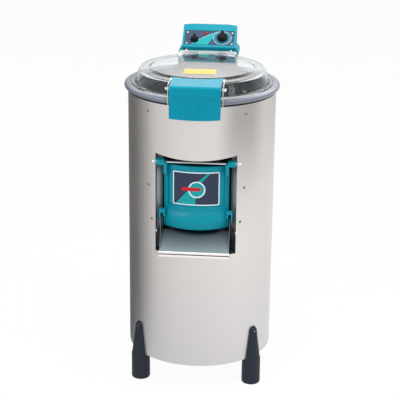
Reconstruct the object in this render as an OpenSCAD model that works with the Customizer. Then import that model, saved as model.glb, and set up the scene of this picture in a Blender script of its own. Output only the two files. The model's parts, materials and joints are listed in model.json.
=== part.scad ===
// Electric potato peeler: a drum machine with an abrasive disc, a hinged clear
// lid, a swing-up discharge door and a control console at the rear.
// Millimetres, +Z up, the front is -Y, and the floor is Z = 0.

/* [Body shell] */
// Outer radius of the body shell
body_r = 200; // [196:1:206]
// Sheet thickness of the body shell
skin_t = 1.5; // [1:0.1:2]
// Height of the shell's lower edge above the floor
skin_bottom = 77; // [60:1:100]
// Height of the rim ring's top above the floor
rim_z = 831; // [825:1:860]
// Width of the shell's turned-in lower hem
hem_w = 14; // [10:1:18]

/* [Rim ring] */
// Radius of the ring's round bead
bead_r = 7; // [5:0.5:8]
// How far the bead's centre stands outside the shell
bead_out = 3; // [2:0.5:4]
// How far the lid seat reaches in from the shell's outside
seat_w = 16; // [13:1:17]
// Thickness of the lid seat
seat_t = 6; // [4:0.5:7]
// Depth of the lid seat below the ring's top
seat_drop = 1.5; // [1:0.5:2]

/* [Drum] */
// Distance from the shell's outside in to the drum's inside
drum_gap = 42; // [40:1:45]
// Sheet thickness of the drum
drum_t = 2; // [1.5:0.1:2.5]
// Height from the collar's lower edge to the ring's top
collar_drop = 31; // [26:1:36]
// Height of the drum floor's top
floor_z = 436; // [433:1:438]
// Thickness of the abrasive liner
liner_t = 4; // [3:0.5:5]
// Number of ribs round the liner
liner_ribs = 24; // [12:1:32]

/* [Discharge opening] */
// Width of the opening in the shell
opening_w = 216; // [212:1:222]
// Height of the opening's lower edge
opening_z = 402; // [400:1:405]
// Height of the opening
opening_h = 275; // [272:1:285]
// How far the opening's top edge bows down at its middle
opening_bow = 10; // [6:1:12]
// Half width of the outlet cut in the drum
outlet_half = 80; // [70:1:80]
// Height of the outlet's lower edge
outlet_z = 478; // [476:1:482]
// Height of the outlet cut in the drum
outlet_h = 156; // [150:1:158]

/* [Chute tray] */
// Width of the tray at its front lip
tray_w = 189; // [185:1:195]
// How far the lip stands out in front of the shell
lip_out = 15; // [11:1:18]
// Height of the lip's front face
lip_h = 13; // [11:1:15]
// Sheet thickness of the tray
tray_t = 1.5; // [1:0.1:2]

/* [Door] */
// Width of the discharge door
door_w = 173; // [170:1:175]
// Height of the door below the rod axis
door_drop = 183; // [180:1:185]
// Distance from the drum's inside out to the door's rails
rail_out = 13; // [12:0.5:14]
// Distance from the drum's inside out to the door's bulging skirt
skirt_out = 25; // [23:0.5:26]
// Diameter of the rod that the door hangs on
rod_d = 6; // [5:0.5:7]
// Outer diameter of the door's bosses
boss_d = 18.5; // [16:0.5:19]
// Distance from the drum's inside out to the rod axis
rod_out = 5; // [4:0.5:6]
// Drop from the opening's top edge to the rod axis
rod_drop = 26; // [24:1:28]

/* [Legs] */
// Diameter of a leg at the floor
foot_d = 52; // [46:1:56]
// Diameter of a leg under its round top
leg_top_d = 28; // [25:1:31]
// Height of the centre of a leg's round top
leg_h = 156; // [140:1:165]
// How far a leg's axis stands inside the shell's outside
leg_inset = 3; // [0:1:6]
// Angle of each front leg from the front
leg_angle = 52; // [48:1:56]

/* [Lid] */
// Thickness of the moulded lid
lid_t = 3; // [2.5:0.1:3.5]
// Distance from the shell's outside in to the lid flange's edge
flange_inset = 10; // [8:0.5:11]
// Height of the lid's land above the ring's top
land_h = 37; // [35:0.5:38]
// Distance from the flange's edge in to the land's edge
land_inset = 20; // [19:0.5:22]
// Distance from the land's edge in to the raised middle
plateau_inset = 28; // [27:1:32]
// Rise of the middle above the land
plateau_h = 5; // [4:0.5:6]
// Further rise of the crown at the centre
crown_h = 4; // [2:0.5:6]
// Depth of the flange that the lid's straight rear wall cuts off
chord_inset = 32; // [31:0.5:34]

/* [Latch] */
// Width of the latch handle
handle_w = 132; // [124:1:134]
// Distance from the shell to the handle's front face
handle_out = 30; // [29:0.5:32]
// Height of the handle's top above the lid's land
handle_rise = 5; // [4.5:0.1:6]
// Height of the handle's front skirt
handle_h = 89; // [84:1:92]
// Wall of the handle
handle_t = 3; // [2.5:0.1:3.2]
// Distance from the shell to the handle's pivot
pivot_out = 5; // [4:0.5:6]
// Drop from the handle's top to its pivot
pivot_drop = 12; // [11:0.5:13]

/* [Rear bridge and hinge] */
// Width of the rear bridge
bridge_w = 166; // [164:1:170]
// Sheet thickness of the bridge
bridge_t = 2; // [1.5:0.1:2.4]
// Height of the bridge's deck above the ring's top
bridge_h = 27; // [26:0.5:28]
// Distance from the shell's outside in to the hinge axis
hinge_inset = 20; // [18:0.5:21]
// Height of the hinge axis above the bridge's deck
hinge_rise = 8; // [7.5:0.5:8.5]
// Diameter of the hinge pin
hinge_pin_d = 6; // [5:0.5:6.5]
// Outer diameter of the hinge knuckles
knuckle_d = 12; // [11:0.5:12.5]

/* [Console] */
// Width of the console's upper housing
console_w = 153; // [150:1:158]
// Width of the console across its flared base
console_base_w = 170; // [166:1:176]
// Distance from the shell to the console's front lip
face_out = 7; // [6:0.5:9]
// Depth of the console behind its front lip
console_depth = 73; // [72:1:77]
// Tilt of the operating face from the horizontal, in degrees
face_tilt = 37; // [35:0.5:38]
// Height of the console above the deck at its middle
console_h = 74; // [72:1:76]
// Height of the front lip above the deck
lip_rise = 20; // [18:0.5:22]
// Wall of the console housing
console_t = 3; // [2.5:0.1:3.2]
// Width of the control panel
panel_w = 140; // [136:1:142]
// Height of the control panel along the face
panel_h = 52; // [50:1:54]
// Diameter of the timer knob
timer_d = 31; // [28:1:34]
// Diameter of the selector knob
selector_d = 23; // [20:1:26]
// Diameter of the indicator lamp
lamp_d = 13; // [10:1:14]

/* [Drive] */
// Gap between the peeling disc's edge and the drum
disc_gap = 6; // [5:1:12]
// Thickness of the peeling disc
disc_t = 10; // [8:1:12]
// Diameter of the drive shaft
shaft_d = 25; // [20:1:28]
// Gap between the pitch circles of the two pulleys
pulley_gap = 27; // [23:1:35]
// Pitch radius of the motor pulley
motor_pulley_r = 20; // [17:1:23]
// Distance from the drum's inside in to the motor shaft
motor_inset = 33; // [28:1:34]
// Radius of the motor's body
motor_r = 60; // [50:1:62]
// Length of the motor's body
motor_h = 150; // [130:1:160]
// Diameter of the motor shaft
motor_shaft_d = 16; // [12:1:19]

/* [Services] */
// Outer diameter of the drain outlet
drain_d = 50; // [44:1:54]
// Distance from the drum's inside in to the drain's vertical pipe
drain_inset = 46; // [40:1:50]
// Height of the drain outlet's axis
drain_z = 372; // [360:1:378]
// Outer diameter of the water inlet
inlet_d = 20; // [16:1:24]
// Distance of the water inlet to the side of the middle
inlet_x = 110; // [100:1:116]

/* [Fits and clearances] */
// Radial running clearance of pins and shafts
run_fit = 0.05; // [0.02:0.01:0.08]
// Gap between parts that move past each other
move_gap = 0.3; // [0.25:0.05:0.5]
// Gap between curved faces that are fixed together
seat_fit = 0.1; // [0.05:0.05:0.15]

/* [Hidden] */
$fn = 96;

steel = "#c9c6c2";
teal = "#0a9aa8";
charcoal = "#2c343e";
black = "#15171a";
eps = 0.01;
far = 400;

// Radii and distances from the drum axis, each measured from the shell or the drum.
drum_r = body_r - drum_gap;
lip_y = body_r + lip_out;
rail_r = drum_r + rail_out;
skirt_r = drum_r + skirt_out;
rod_y = drum_r + rod_out;
leg_axis_r = body_r - leg_inset;
flange_r = body_r - flange_inset;
land_r = flange_r - land_inset;
plateau_r = land_r - plateau_inset;
chord_y = flange_r - chord_inset;
handle_y = body_r + handle_out;
pivot_y = body_r + pivot_out;
hinge_y = body_r - hinge_inset;
lip_face_y = body_r + face_out;
console_back = lip_face_y + console_depth;
disc_r = drum_r - disc_gap;
shaft_gap = drum_r - motor_inset;
driven_r = shaft_gap - motor_pulley_r - pulley_gap;
drain_y = drum_r - drain_inset;

// The drum axis stands so that the origin is the middle of the whole machine.
band_t = 0.8;
axis_y = (handle_y + band_t - console_back) / 2;

skin_in_r = body_r - skin_t;
skin_top = rim_z - 5;
seat_z = rim_z - seat_drop;
seat_r = body_r - seat_w;
drum_out_r = drum_r + drum_t;
drum_top = rim_z - collar_drop;
drum_skirt_z = opening_z - 2.5;
floor_t = 2;
liner_r = drum_r - seat_fit;
liner_in_r = liner_r - liner_t;
opening_top = opening_z + opening_h;
bow_r = (opening_w * opening_w / 4 + opening_bow * opening_bow) / (2 * opening_bow);
surround_t = 1.5;
surround_half = opening_w / 2 + surround_t;
roof_z = opening_top + 8;
rod_z = opening_top - rod_drop;
door_in_r = drum_out_r + 2.4;
door_half = door_w / 2;
door_bottom = rod_z - door_drop;
door_top = rod_z - 9;
liner_plate_r = drum_out_r + 0.8;
lip_top = opening_z + 3 + lip_h;

land_z = rim_z + land_h;
plateau_z = land_z + plateau_h;
lid_z = seat_z + move_gap;
cone_r = flange_r - 11;
handle_top = land_z + handle_rise;
pivot_z = handle_top - pivot_drop;
cheek_x = handle_w / 2 + 3.5;
cheek_t = 2;

deck_z = rim_z + bridge_h;
hinge_z = deck_z + hinge_rise;
wall_y = chord_y + 7;
back_y = body_r + bead_out + bead_r + 2;
leaf_t = 2;
leaf_gap = 0.3;
knuckle_x = [[-79, -48], [-15, 15], [48, 79]];
leaf_knuckle_x = [[-47.4, -15.6], [15.6, 47.4]];

face_z = deck_z + lip_rise;
base_fit = 0.2;
console_z = deck_z + base_fit;
panel_t = 2;
panel_s = 33.5;
selector_x = -42.4;
selector_s = 26;
timer_x = 36.7;
timer_s = 34;
lamp_x = -11.4;
lamp_s = 48;
face_len = 84;
spindle_r = 3;

disc_z = floor_z + 16;
pulley_z = 165;
housing_r = 32;
flange_bolt_r = 54;
bearing_r = 26;
bearing_h = 15;
housing_bottom = floor_z - 118;
plate_z = floor_z - 60;
plate_t = 4;
motor_top = plate_z - 5;
belt_half_w = 5;
belt_depth = 8;

// Moves a sub-part from the drum axis to its place in the machine.
module on_axis() {
    translate([0, axis_y, 0]) children();
}

// Turns what stands at the front to another angle round the drum axis.
module at_angle(a) {
    rotate([0, 0, a]) children();
}

// Places what stands on the operating face: x across, s up the face.
module on_face(x = 0, s = 0, h = 0) {
    translate([0, lip_face_y, face_z]) rotate([face_tilt, 0, 0]) translate([x, s, h]) children();
}

// Large circles get more segments than small ones.
function segments(r) = r > 100 ? 240 : 96;

module tube(r_out, r_in, z_low, z_high) {
    $fn = segments(r_out);
    translate([0, 0, z_low]) difference() {
        cylinder(r = r_out, h = z_high - z_low);
        translate([0, 0, -1]) cylinder(r = r_in, h = z_high - z_low + 2);
    }
}

module disc(r, z_low, z_high) {
    translate([0, 0, z_low]) cylinder(r = r, h = z_high - z_low, $fn = segments(r));
}

// A box from its lowest to its highest corner.
module block(low, high) {
    translate(low) cube(high - low);
}

// A plate in the YZ plane, from x to x + t.
module side_plate(x, t, points) {
    translate([x, 0, 0]) rotate([90, 0, 90]) linear_extrude(t) polygon(points);
}

// A low domed screw head that points along +Z from Z = 0.
module dome_head(r, h) {
    ball = (r * r + h * h) / (2 * h);
    intersection() {
        translate([0, 0, h - ball]) sphere(r = ball, $fn = 48);
        cylinder(r = r + 1, h = h + 1, $fn = 48);
    }
}

// A screw that points outwards from the drum axis at the front.
module radial_screw(r, z, head_r, head_h, shank_r, shank_l) {
    translate([0, -r, z]) rotate([90, 0, 0]) {
        dome_head(head_r, head_h);
        translate([0, 0, -shank_l]) cylinder(r = shank_r, h = shank_l + eps, $fn = 24);
    }
}

// ---------------------------------------------------------------- cabinet

module body_shell() color(steel) on_axis() difference() {
    union() {
        tube(body_r, skin_in_r, skin_bottom, skin_top);
        tube(body_r - eps, body_r - hem_w, skin_bottom, skin_bottom + skin_t);
    }
    difference() {
        block([-opening_w / 2, -body_r - 5, opening_z], [opening_w / 2, -body_r / 2, opening_top]);
        translate([0, -body_r, opening_top - opening_bow + bow_r]) rotate([90, 0, 0])
            cylinder(r = bow_r, h = body_r, center = true, $fn = 480);
    }
    translate([0, -rod_y, rod_z]) rotate([0, 90, 0])
        cylinder(r = rod_d / 2 + seat_fit, h = 2 * far, center = true, $fn = 32);
    for (p = body_screw_places)
        at_angle(p[0]) translate([0, -body_r, p[1]]) rotate([90, 0, 0])
            cylinder(r = 2.1, h = 20, center = true, $fn = 24);
    for (a = leg_angles)
        at_angle(a) translate([0, -body_r, leg_screw_z]) rotate([90, 0, 0])
            cylinder(r = 3.1, h = 20, center = true, $fn = 24);
    for (x = bridge_bolt_x, z = bridge_bolt_z)
        translate([x, body_r, z]) rotate([90, 0, 0])
            cylinder(r = 3.1, h = 60, center = true, $fn = 24);
    translate([0, body_r, drain_z]) rotate([90, 0, 0])
        cylinder(r = drain_d / 2 + seat_fit, h = 40, center = true);
    translate([inlet_x, body_r - 30, inlet_z]) rotate([90, 0, 0])
        cylinder(r = inlet_d / 2 + seat_fit, h = 80, center = true);
    translate([gland_x, body_r, gland_z]) rotate([90, 0, 0])
        cylinder(r = gland_thread_r + seat_fit, h = 80, center = true);
}

body_screw_places = [for (side = [-1, 1], p = [[39.6, 787], [39.4, 584.5], [36.2, 490]])
    [side * p[0], p[1]]];
leg_screw_z = leg_h - 1;
leg_angles = [-leg_angle, leg_angle, leg_angle - 180, 180 - leg_angle];
bridge_bolt_x = [-50, 50];
bridge_bolt_z = [deck_z - 56, deck_z - 92];
inlet_z = drum_top - 26;
gland_x = -84;
gland_z = 140;
gland_thread_r = 10;

module rim_ring() color("#83888f") on_axis() rotate_extrude($fn = 128) difference() {
    union() {
        translate([body_r + bead_out, rim_z - bead_r]) circle(r = bead_r, $fn = 48);
        translate([seat_r, seat_z - seat_t]) square([body_r + bead_out - seat_r, seat_t]);
        translate([flange_r + 2, seat_z - seat_t])
            square([body_r + bead_out - flange_r - 2, seat_t + seat_drop]);
    }
    // the groove that sits on the shell's edge, and the room for the collar inside it
    translate([skin_in_r - seat_fit, rim_z - 30])
        square([skin_t + 2 * seat_fit, skin_top - rim_z + 30 + seat_fit]);
    translate([seat_r, rim_z - 30]) square([skin_in_r - seat_r, seat_z - seat_t - rim_z + 30]);
}

module top_collar() color(steel) on_axis() {
    top = seat_z - seat_t - seat_fit;
    t = 1.5;
    r = drum_out_r + seat_fit;
    low = drum_top - 10;
    rotate_extrude($fn = 128) polygon([
        [skin_in_r - 2 * seat_fit, top], [seat_r + 2, top], [drum_r, drum_top + seat_fit],
        [r, drum_top + seat_fit], [r, low], [r + t, low], [r + t, drum_top + 0.6],
        [seat_r + 1.5, top - t], [skin_in_r - 2 * seat_fit, top - t]]);
}

module inlet_hole() {
    translate([inlet_x, drum_r - 58, inlet_z]) rotate([90, 0, 0])
        cylinder(r = inlet_d / 2 + 0.5, h = 120, center = true);
}

module drum() color(steel) on_axis() difference() {
    tube(drum_out_r, drum_r, drum_skirt_z, drum_top);
    block([-outlet_half, -body_r, outlet_z], [outlet_half, -drum_r / 3, outlet_z + outlet_h]);
    inlet_hole();
}

module drum_floor() color(steel) on_axis() difference() {
    disc(drum_r - seat_fit, floor_z - floor_t, floor_z);
    disc(housing_r - 2 + seat_fit, 0, floor_z + 1);
    translate([0, drain_y, floor_z - 10]) cylinder(r = drain_d / 2 - 3, h = 20);
    for (a = [22.5:45:359])
        rotate([0, 0, a]) translate([flange_bolt_r, 0, floor_z - 10]) cylinder(r = 4.1, h = 20, $fn = 24);
}

module drum_liner() color("#3a4048") on_axis() {
    low = floor_z + 2;
    high = drum_top - 4;
    rib_low = disc_z + 32;
    difference() {
        union() {
            tube(liner_r, liner_in_r, low, high);
            for (i = [0:liner_ribs - 1])
                rotate([0, 0, (i + 0.5) * 360 / liner_ribs]) translate([0, -liner_in_r - 0.9, rib_low])
                    cylinder(r = 2.6, h = high - rib_low - 2, $fn = 24);
        }
        block([-outlet_half - 1, -body_r, outlet_z - 1],
              [outlet_half + 1, -drum_r / 3, outlet_z + outlet_h + 1]);
        inlet_hole();
    }
}

module discharge_surround() color("#4a4e54") on_axis() difference() {
    intersection() {
        difference() {
            union() {
                for (side = [-1, 1])
                    block([side * (surround_half - surround_t / 2) - surround_t / 2, -body_r,
                           drum_skirt_z - surround_t],
                          [side * (surround_half - surround_t / 2) + surround_t / 2, -drum_r / 2, roof_z]);
                block([-surround_half, -body_r, drum_skirt_z - surround_t],
                      [surround_half, -drum_r / 2, drum_skirt_z]);
                block([-surround_half, -body_r, roof_z - surround_t], [surround_half, -drum_r / 2, roof_z]);
            }
            translate([0, -rod_y, rod_z]) rotate([0, 90, 0])
                cylinder(r = rod_d / 2 + seat_fit, h = far, center = true, $fn = 32);
            translate([0, -tray_bolt_y, tray_bolt_z]) rotate([0, 90, 0])
                cylinder(r = 3.1, h = far, center = true, $fn = 24);
        }
        disc(skin_in_r - seat_fit, 0, far * 2);
    }
    disc(drum_out_r + seat_fit, 0, far * 2);
}

tray_bolt_y = sqrt(skin_in_r * skin_in_r - opening_w * opening_w / 4) - 12.5;
tray_bolt_z = opening_z + 52;

module surround_bolts() color("#e8e8e4") on_axis()
    for (side = [-1, 1])
        translate([side * opening_w / 2, -tray_bolt_y, tray_bolt_z]) rotate([0, -side * 90, 0]) {
            cylinder(r = 8.5, h = 1.5);
            translate([0, 0, 1.4]) dome_head(7, 6.5);
            translate([0, 0, -6]) cylinder(r = 3, h = 6 + eps, $fn = 24);
            translate([0, 0, -4.6]) cylinder(r = 5, h = 3, $fn = 6);
        }

module chute_tray() color(steel) on_axis() {
    half = tray_w / 2 - 2;
    t = tray_t;
    back = drum_out_r + 1.5;
    floor_back = outlet_z - 16;
    base_z = opening_z + 0.3;
    lip_face = lip_y - 2.5;
    difference() {
        union() {
            // sloping floor, front lip with its fold, and base that rests on the shell
            side_plate(-half, 2 * half, [[-back, floor_back], [-lip_face, lip_top],
                [-lip_face, lip_top - t * 1.4], [-back, floor_back - t * 1.4]]);
            side_plate(-tray_w / 2, tray_w, [[-lip_face + 1, lip_top - 1.8], [-lip_face + 0.5, lip_top],
                [-lip_y + 0.8, lip_top], [-lip_y, lip_top - 0.8], [-lip_y, lip_top - 6.5],
                [-lip_face + t, lip_top - 6.5]]);
            side_plate(-tray_w / 2, tray_w, [[-lip_face + t, lip_top - 6.5], [-lip_face, lip_top - 6.5],
                [-lip_face, lip_top - 8.3], [-lip_y + 0.6, lip_top - 8.3],
                [-lip_y + 0.6, base_z], [-lip_face + t, base_z]]);
            side_plate(-half, 2 * half, [[-lip_face + t, base_z], [-lip_face + t, base_z + t],
                [-back, base_z + t], [-back, base_z]]);
            for (side = [-1, 1])
                side_plate(side * (half - t / 2) - t / 2, t, [[-back, floor_back - 2 * t],
                    [-back, outlet_z + 25], [-back - 14, outlet_z + 25],
                    [-lip_face, lip_top + 1.5], [-lip_face, lip_top - 2 * t]]);
        }
        disc(drum_out_r + 0.2, 0, far * 2);
    }
}

module door_rod() color(steel) on_axis()
    translate([0, -rod_y, rod_z]) rotate([0, 90, 0])
        cylinder(r = rod_d / 2, h = 2 * sqrt(body_r * body_r - rod_y * rod_y) + 4, center = true, $fn = 48);

// Domed caps on the rod's ends, with feet cut to the curve of the shell.
module rod_caps() color("#e8e8e4") on_axis() difference() {
    x = sqrt(body_r * body_r - rod_y * rod_y);
    for (side = [-1, 1])
        translate([side * (x - 9), -rod_y, rod_z]) rotate([0, side * 90, 0]) {
            cylinder(r = 4.8, h = 16.6, $fn = 48);
            translate([0, 0, 16.5]) dome_head(4.8, 3);
        }
    disc(body_r + seat_fit, 0, far * 2);
    translate([0, -rod_y, rod_z]) rotate([0, 90, 0])
        cylinder(r = rod_d / 2 + seat_fit / 2, h = 2 * x + 4.2, center = true, $fn = 48);
}

module base_plate() color(steel) on_axis() difference() {
    z = skin_bottom + skin_t;
    disc(skin_in_r - 2 * seat_fit, z, z + 2);
    for (ring = [60, 90, 120, 150])
        for (i = [0:11])
            rotate([0, 0, i * 30]) translate([ring, 0, z - 5]) cylinder(r = 6 + ring / 40, h = 12, $fn = 24);
    disc(24, z - 5, z + 7);
}

// One leg: full and nearly straight under the shell, tapered outside it above its lower edge.
module leg(a) color(charcoal) on_axis() at_angle(a) {
    foot_r = foot_d / 2;
    neck_r = foot_r - 2;
    top_r = leg_top_d / 2;
    chamfer = 3;
    difference() {
        translate([0, -leg_axis_r, 0]) {
            rotate_extrude() polygon([[0, 0], [foot_r - chamfer / 2, 0], [foot_r, chamfer],
                [foot_r - 0.5, skin_bottom - 3], [neck_r, skin_bottom], [top_r, leg_h], [0, leg_h]]);
            translate([0, 0, leg_h]) sphere(r = top_r, $fn = 64);
        }
        disc(body_r + seat_fit, skin_bottom - seat_fit, far);
        translate([0, -body_r - 7, leg_screw_z]) rotate([90, 0, 0]) cylinder(r = 5.5, h = 40, $fn = 32);
        translate([0, -body_r + 5, leg_screw_z]) rotate([90, 0, 0]) cylinder(r = 3.1, h = 40, $fn = 24);
    }
}

module leg_front_left() leg(leg_angles[0]);
module leg_front_right() leg(leg_angles[1]);
module leg_rear_left() leg(leg_angles[2]);
module leg_rear_right() leg(leg_angles[3]);

module leg_screws() color("#b8babc") on_axis()
    for (a = leg_angles)
        at_angle(a) radial_screw(body_r + 7, leg_screw_z, 5, 3, 3, 14);

module body_screws() color("#b8babc") on_axis()
    for (p = body_screw_places)
        at_angle(p[0]) radial_screw(body_r + 0.2, p[1], 4.2, 2.2, 2, 6);

// ---------------------------------------------------------------- drive

module bearing_housing() color("#8a9096") on_axis() {
    top = floor_z - floor_t;
    difference() {
        union() {
            rotate_extrude() polygon([[bearing_r - 3, housing_bottom], [housing_r, housing_bottom],
                [housing_r, top - 34], [housing_r + 14, top - 8], [60, top - 8], [60, top],
                [housing_r - 2, top], [housing_r - 2, top + 10], [bearing_r - 3, top + 10]]);
            for (a = [0:45:359])
                rotate([0, 0, a]) block([housing_r - 2, -2.5, top - 60], [56, 2.5, top - 7]);
        }
        for (a = [0:45:359])
            rotate([0, 0, a]) rotate([90, 0, 0]) linear_extrude(8, center = true)
                polygon([[housing_r + 0.5, top - 61], [60, top - 61], [60, top - 16]]);
        disc(bearing_r, housing_bottom + 4, housing_bottom + 4 + bearing_h);
        disc(bearing_r, top - 24 - bearing_h, top + 11);
        for (a = [22.5:45:359])
            rotate([0, 0, a]) translate([flange_bolt_r, 0, top - 20]) cylinder(r = 4.1, h = 40, $fn = 24);
    }
}

module shaft_bearings() color("#d5d7da") on_axis()
    for (z = [housing_bottom + 4, floor_z - floor_t - 24 - bearing_h])
        rotate_extrude() difference() {
            translate([shaft_d / 2 + run_fit, z]) square([bearing_r - 0.05 - shaft_d / 2 - run_fit, bearing_h]);
            mid = (bearing_r + shaft_d / 2) / 2;
            translate([mid - 2.5, z - 1]) square([5, 3]);
            translate([mid - 2.5, z + bearing_h - 2]) square([5, 3]);
        }

module shaft_seal() color(black) on_axis()
    tube(bearing_r - 0.05, shaft_d / 2 + run_fit, floor_z - floor_t - 4, floor_z - floor_t + 8);

module motor_plate() color("#8a9096") on_axis() difference() {
    disc(skin_in_r - 2 * seat_fit, plate_z, plate_z + plate_t);
    block([-far, 42, plate_z - 5], [far, far, plate_z + 10]);
    disc(housing_r + 8, plate_z - 5, plate_z + 10);
    translate([0, -shaft_gap, plate_z - 5]) {
        cylinder(r = 20, h = 20);
        for (a = [45:90:359])
            rotate([0, 0, a]) translate([motor_r - 8, 0, 0]) cylinder(r = 4.1, h = 20, $fn = 24);
    }
    for (side = [-1, 1])
        translate([side * 110, -40, plate_z - 5]) cylinder(r = 34, h = 20);
}

module motor_housing() color("#5a6470") on_axis() translate([0, -shaft_gap, motor_top - motor_h]) {
    difference() {
        union() {
            translate([0, 0, 12]) cylinder(r = motor_r - 6, h = motor_h - 20);
            for (i = [0:23])
                rotate([0, 0, i * 15]) block([motor_r - 8, -1.2, 16], [motor_r, 1.2, motor_h - 14]);
            translate([0, 0, motor_h - 14]) cylinder(r = motor_r + 2, h = 14);
            cylinder(r1 = motor_r - 10, r2 = motor_r, h = 14);
            block([motor_r - 8, -24, 60], [motor_r + 20, 24, 110]);
            translate([0, 0, motor_h - eps]) cylinder(r = 19.5, h = 5 + plate_t);
        }
        translate([0, 0, -1]) cylinder(r = motor_shaft_d / 2 + run_fit, h = motor_h + 20);
        for (a = [45:90:359])
            rotate([0, 0, a]) translate([motor_r - 8, 0, motor_h - 12]) cylinder(r = 4.1, h = 20, $fn = 24);
    }
    difference() {
        translate([0, 0, motor_h]) cylinder(r = motor_r + 2, h = 5);
        translate([0, 0, motor_h - 1]) cylinder(r = 19.5, h = 8);
        for (a = [45:90:359])
            rotate([0, 0, a]) translate([motor_r - 8, 0, motor_h - 12]) cylinder(r = 4.1, h = 20, $fn = 24);
    }
}

// A hexagon bolt: head below z, shank upwards.
module hex_bolt(shank_l) {
    translate([0, 0, -5]) cylinder(r = 7, h = 5, $fn = 6);
    translate([0, 0, -eps]) cylinder(r = 4, h = shank_l, $fn = 32);
}

module frame_bolts() color("#b8babc") on_axis() {
    for (a = [22.5:45:359])
        rotate([0, 0, a]) translate([flange_bolt_r, 0, floor_z - floor_t - 8]) hex_bolt(8 + floor_t);
    translate([0, -shaft_gap, plate_z + plate_t])
        for (a = [45:90:359])
            rotate([0, 0, a]) translate([motor_r - 8, 0, 0]) mirror([0, 0, 1]) hex_bolt(12);
}

// A solid that fills a belt run out to a distance d outside both pitch circles.
module belt_run(d, low, high) {
    lean = asin((driven_r - motor_pulley_r) / shaft_gap);
    disc(driven_r + d, low, high);
    translate([0, -shaft_gap, 0]) disc(motor_pulley_r + d, low, high);
    // the straight runs start just inside the circles, so they cross them cleanly
    translate([0, 0, low]) linear_extrude(high - low)
        polygon([for (side = [1, -1]) for (end = (side == 1 ? [0, 1] : [1, 0]))
            let (r = (end == 0 ? driven_r : motor_pulley_r) + d - 0.05)
            [side * r * cos(lean), -end * shaft_gap - r * sin(lean)]]);
}

module drive_belt() color(black) on_axis() difference() {
    belt_run(belt_depth, pulley_z - belt_half_w, pulley_z + belt_half_w);
    belt_run(0, pulley_z - far, pulley_z + far);
}

module v_pulley(r, bore_r, web) {
    groove = r - move_gap;
    half = belt_half_w + move_gap;
    difference() {
        union() {
            translate([0, 0, -half - 4]) cylinder(r = r + belt_depth + 2, h = 4);
            translate([0, 0, half]) cylinder(r = r + belt_depth + 2, h = 4);
            translate([0, 0, -half - eps]) cylinder(r = groove, h = 2 * half + 2 * eps);
            translate([0, 0, half]) cylinder(r = bore_r + 8, h = 14);
        }
        translate([0, 0, -30]) cylinder(r = bore_r, h = 60);
        if (web)
            for (a = [0:60:359])
                rotate([0, 0, a]) translate([r * 0.6, 0, -30]) cylinder(r = r * 0.19, h = 60);
    }
}

module driven_pulley() color("#9aa0a6") on_axis() translate([0, 0, pulley_z])
    v_pulley(driven_r, shaft_d / 2 + 0.02, true);

module motor_pulley() color("#9aa0a6") on_axis() translate([0, -shaft_gap, pulley_z])
    v_pulley(motor_pulley_r, motor_shaft_d / 2 + 0.02, false);

module motor_shaft() color("#d5d7da") on_axis()
    translate([0, -shaft_gap, pulley_z - 16]) cylinder(r = motor_shaft_d / 2, h = plate_z + plate_t - pulley_z + 14);

module drive_shaft() color("#d5d7da") on_axis() {
    disc(shaft_d / 2, pulley_z - 16, disc_z - 2);
    disc(shaft_d / 2 - 3, disc_z - 3, disc_z + disc_t + 14);
}

module peeling_disc() color("#4d453c") on_axis() difference() {
    union() {
        disc(disc_r, disc_z, disc_z + disc_t);
        intersection() {
            for (a = [0:120:359])
                rotate([0, 0, a]) translate([20, 0, disc_z - 6]) rotate([0, 90, 0])
                    cylinder(r1 = 18, r2 = 32, h = disc_r);
            disc(disc_r, disc_z, disc_z + 60);
        }
        disc(34, disc_z - 2, disc_z + disc_t + 6);
    }
    disc(shaft_d / 2 - 3 + 0.02, 0, far * 2);
    disc(housing_r + 4, disc_z - 30, disc_z - 2);
}

module disc_cap() color(steel) on_axis() difference() {
    translate([0, 0, disc_z + disc_t + 6]) {
        cylinder(r = 20, h = 10);
        translate([0, 0, 10]) dome_head(20, 9);
    }
    disc(shaft_d / 2 - 3 + 0.02, 0, disc_z + disc_t + 14.1);
}

// ---------------------------------------------------------------- services

module drain_outlet() color(steel) on_axis() {
    r = drain_d / 2;
    top = floor_z - floor_t;
    difference() {
        union() {
            translate([0, drain_y, drain_z]) cylinder(r = r, h = top - drain_z);
            translate([0, drain_y, drain_z]) sphere(r = r, $fn = 64);
            translate([0, drain_y, drain_z]) rotate([-90, 0, 0]) cylinder(r = r, h = body_r + 42 - drain_y);
            translate([0, drain_y, top - 3]) cylinder(r = r + 10, h = 3);
            translate([0, body_r + 36, drain_z]) rotate([-90, 0, 0]) cylinder(r = r + 2, h = 4);
        }
        translate([0, drain_y, drain_z]) cylinder(r = r - 3, h = far);
        translate([0, drain_y, drain_z]) sphere(r = r - 3, $fn = 64);
        translate([0, drain_y, drain_z]) rotate([-90, 0, 0]) cylinder(r = r - 3, h = far);
        // the socket that takes the drain hose
        translate([0, body_r + 6, drain_z]) rotate([-90, 0, 0]) cylinder(r = r - 2, h = far);
    }
}

module water_inlet() color("#b9a36a") on_axis() translate([inlet_x, 0, inlet_z]) rotate([-90, 0, 0]) {
    r = inlet_d / 2;
    wall_in = sqrt(liner_in_r * liner_in_r - inlet_x * inlet_x) - 4;
    wall_out = sqrt(body_r * body_r - pow(inlet_x - r - 6, 2));
    difference() {
        union() {
            translate([0, 0, wall_in]) cylinder(r = r, h = wall_out + 34 - wall_in);
            translate([0, 0, wall_out + move_gap]) cylinder(r = r + 6, h = 8, $fn = 6);
            for (i = [0:3])
                translate([0, 0, wall_out + 14 + i * 5]) cylinder(r = r + 1.2, h = 2.5);
        }
        translate([0, 0, wall_in - 1]) cylinder(r = r - 3, h = far);
        translate([0, 0, wall_out + 6]) cylinder(r = r - 2.5, h = far);
    }
}

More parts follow.
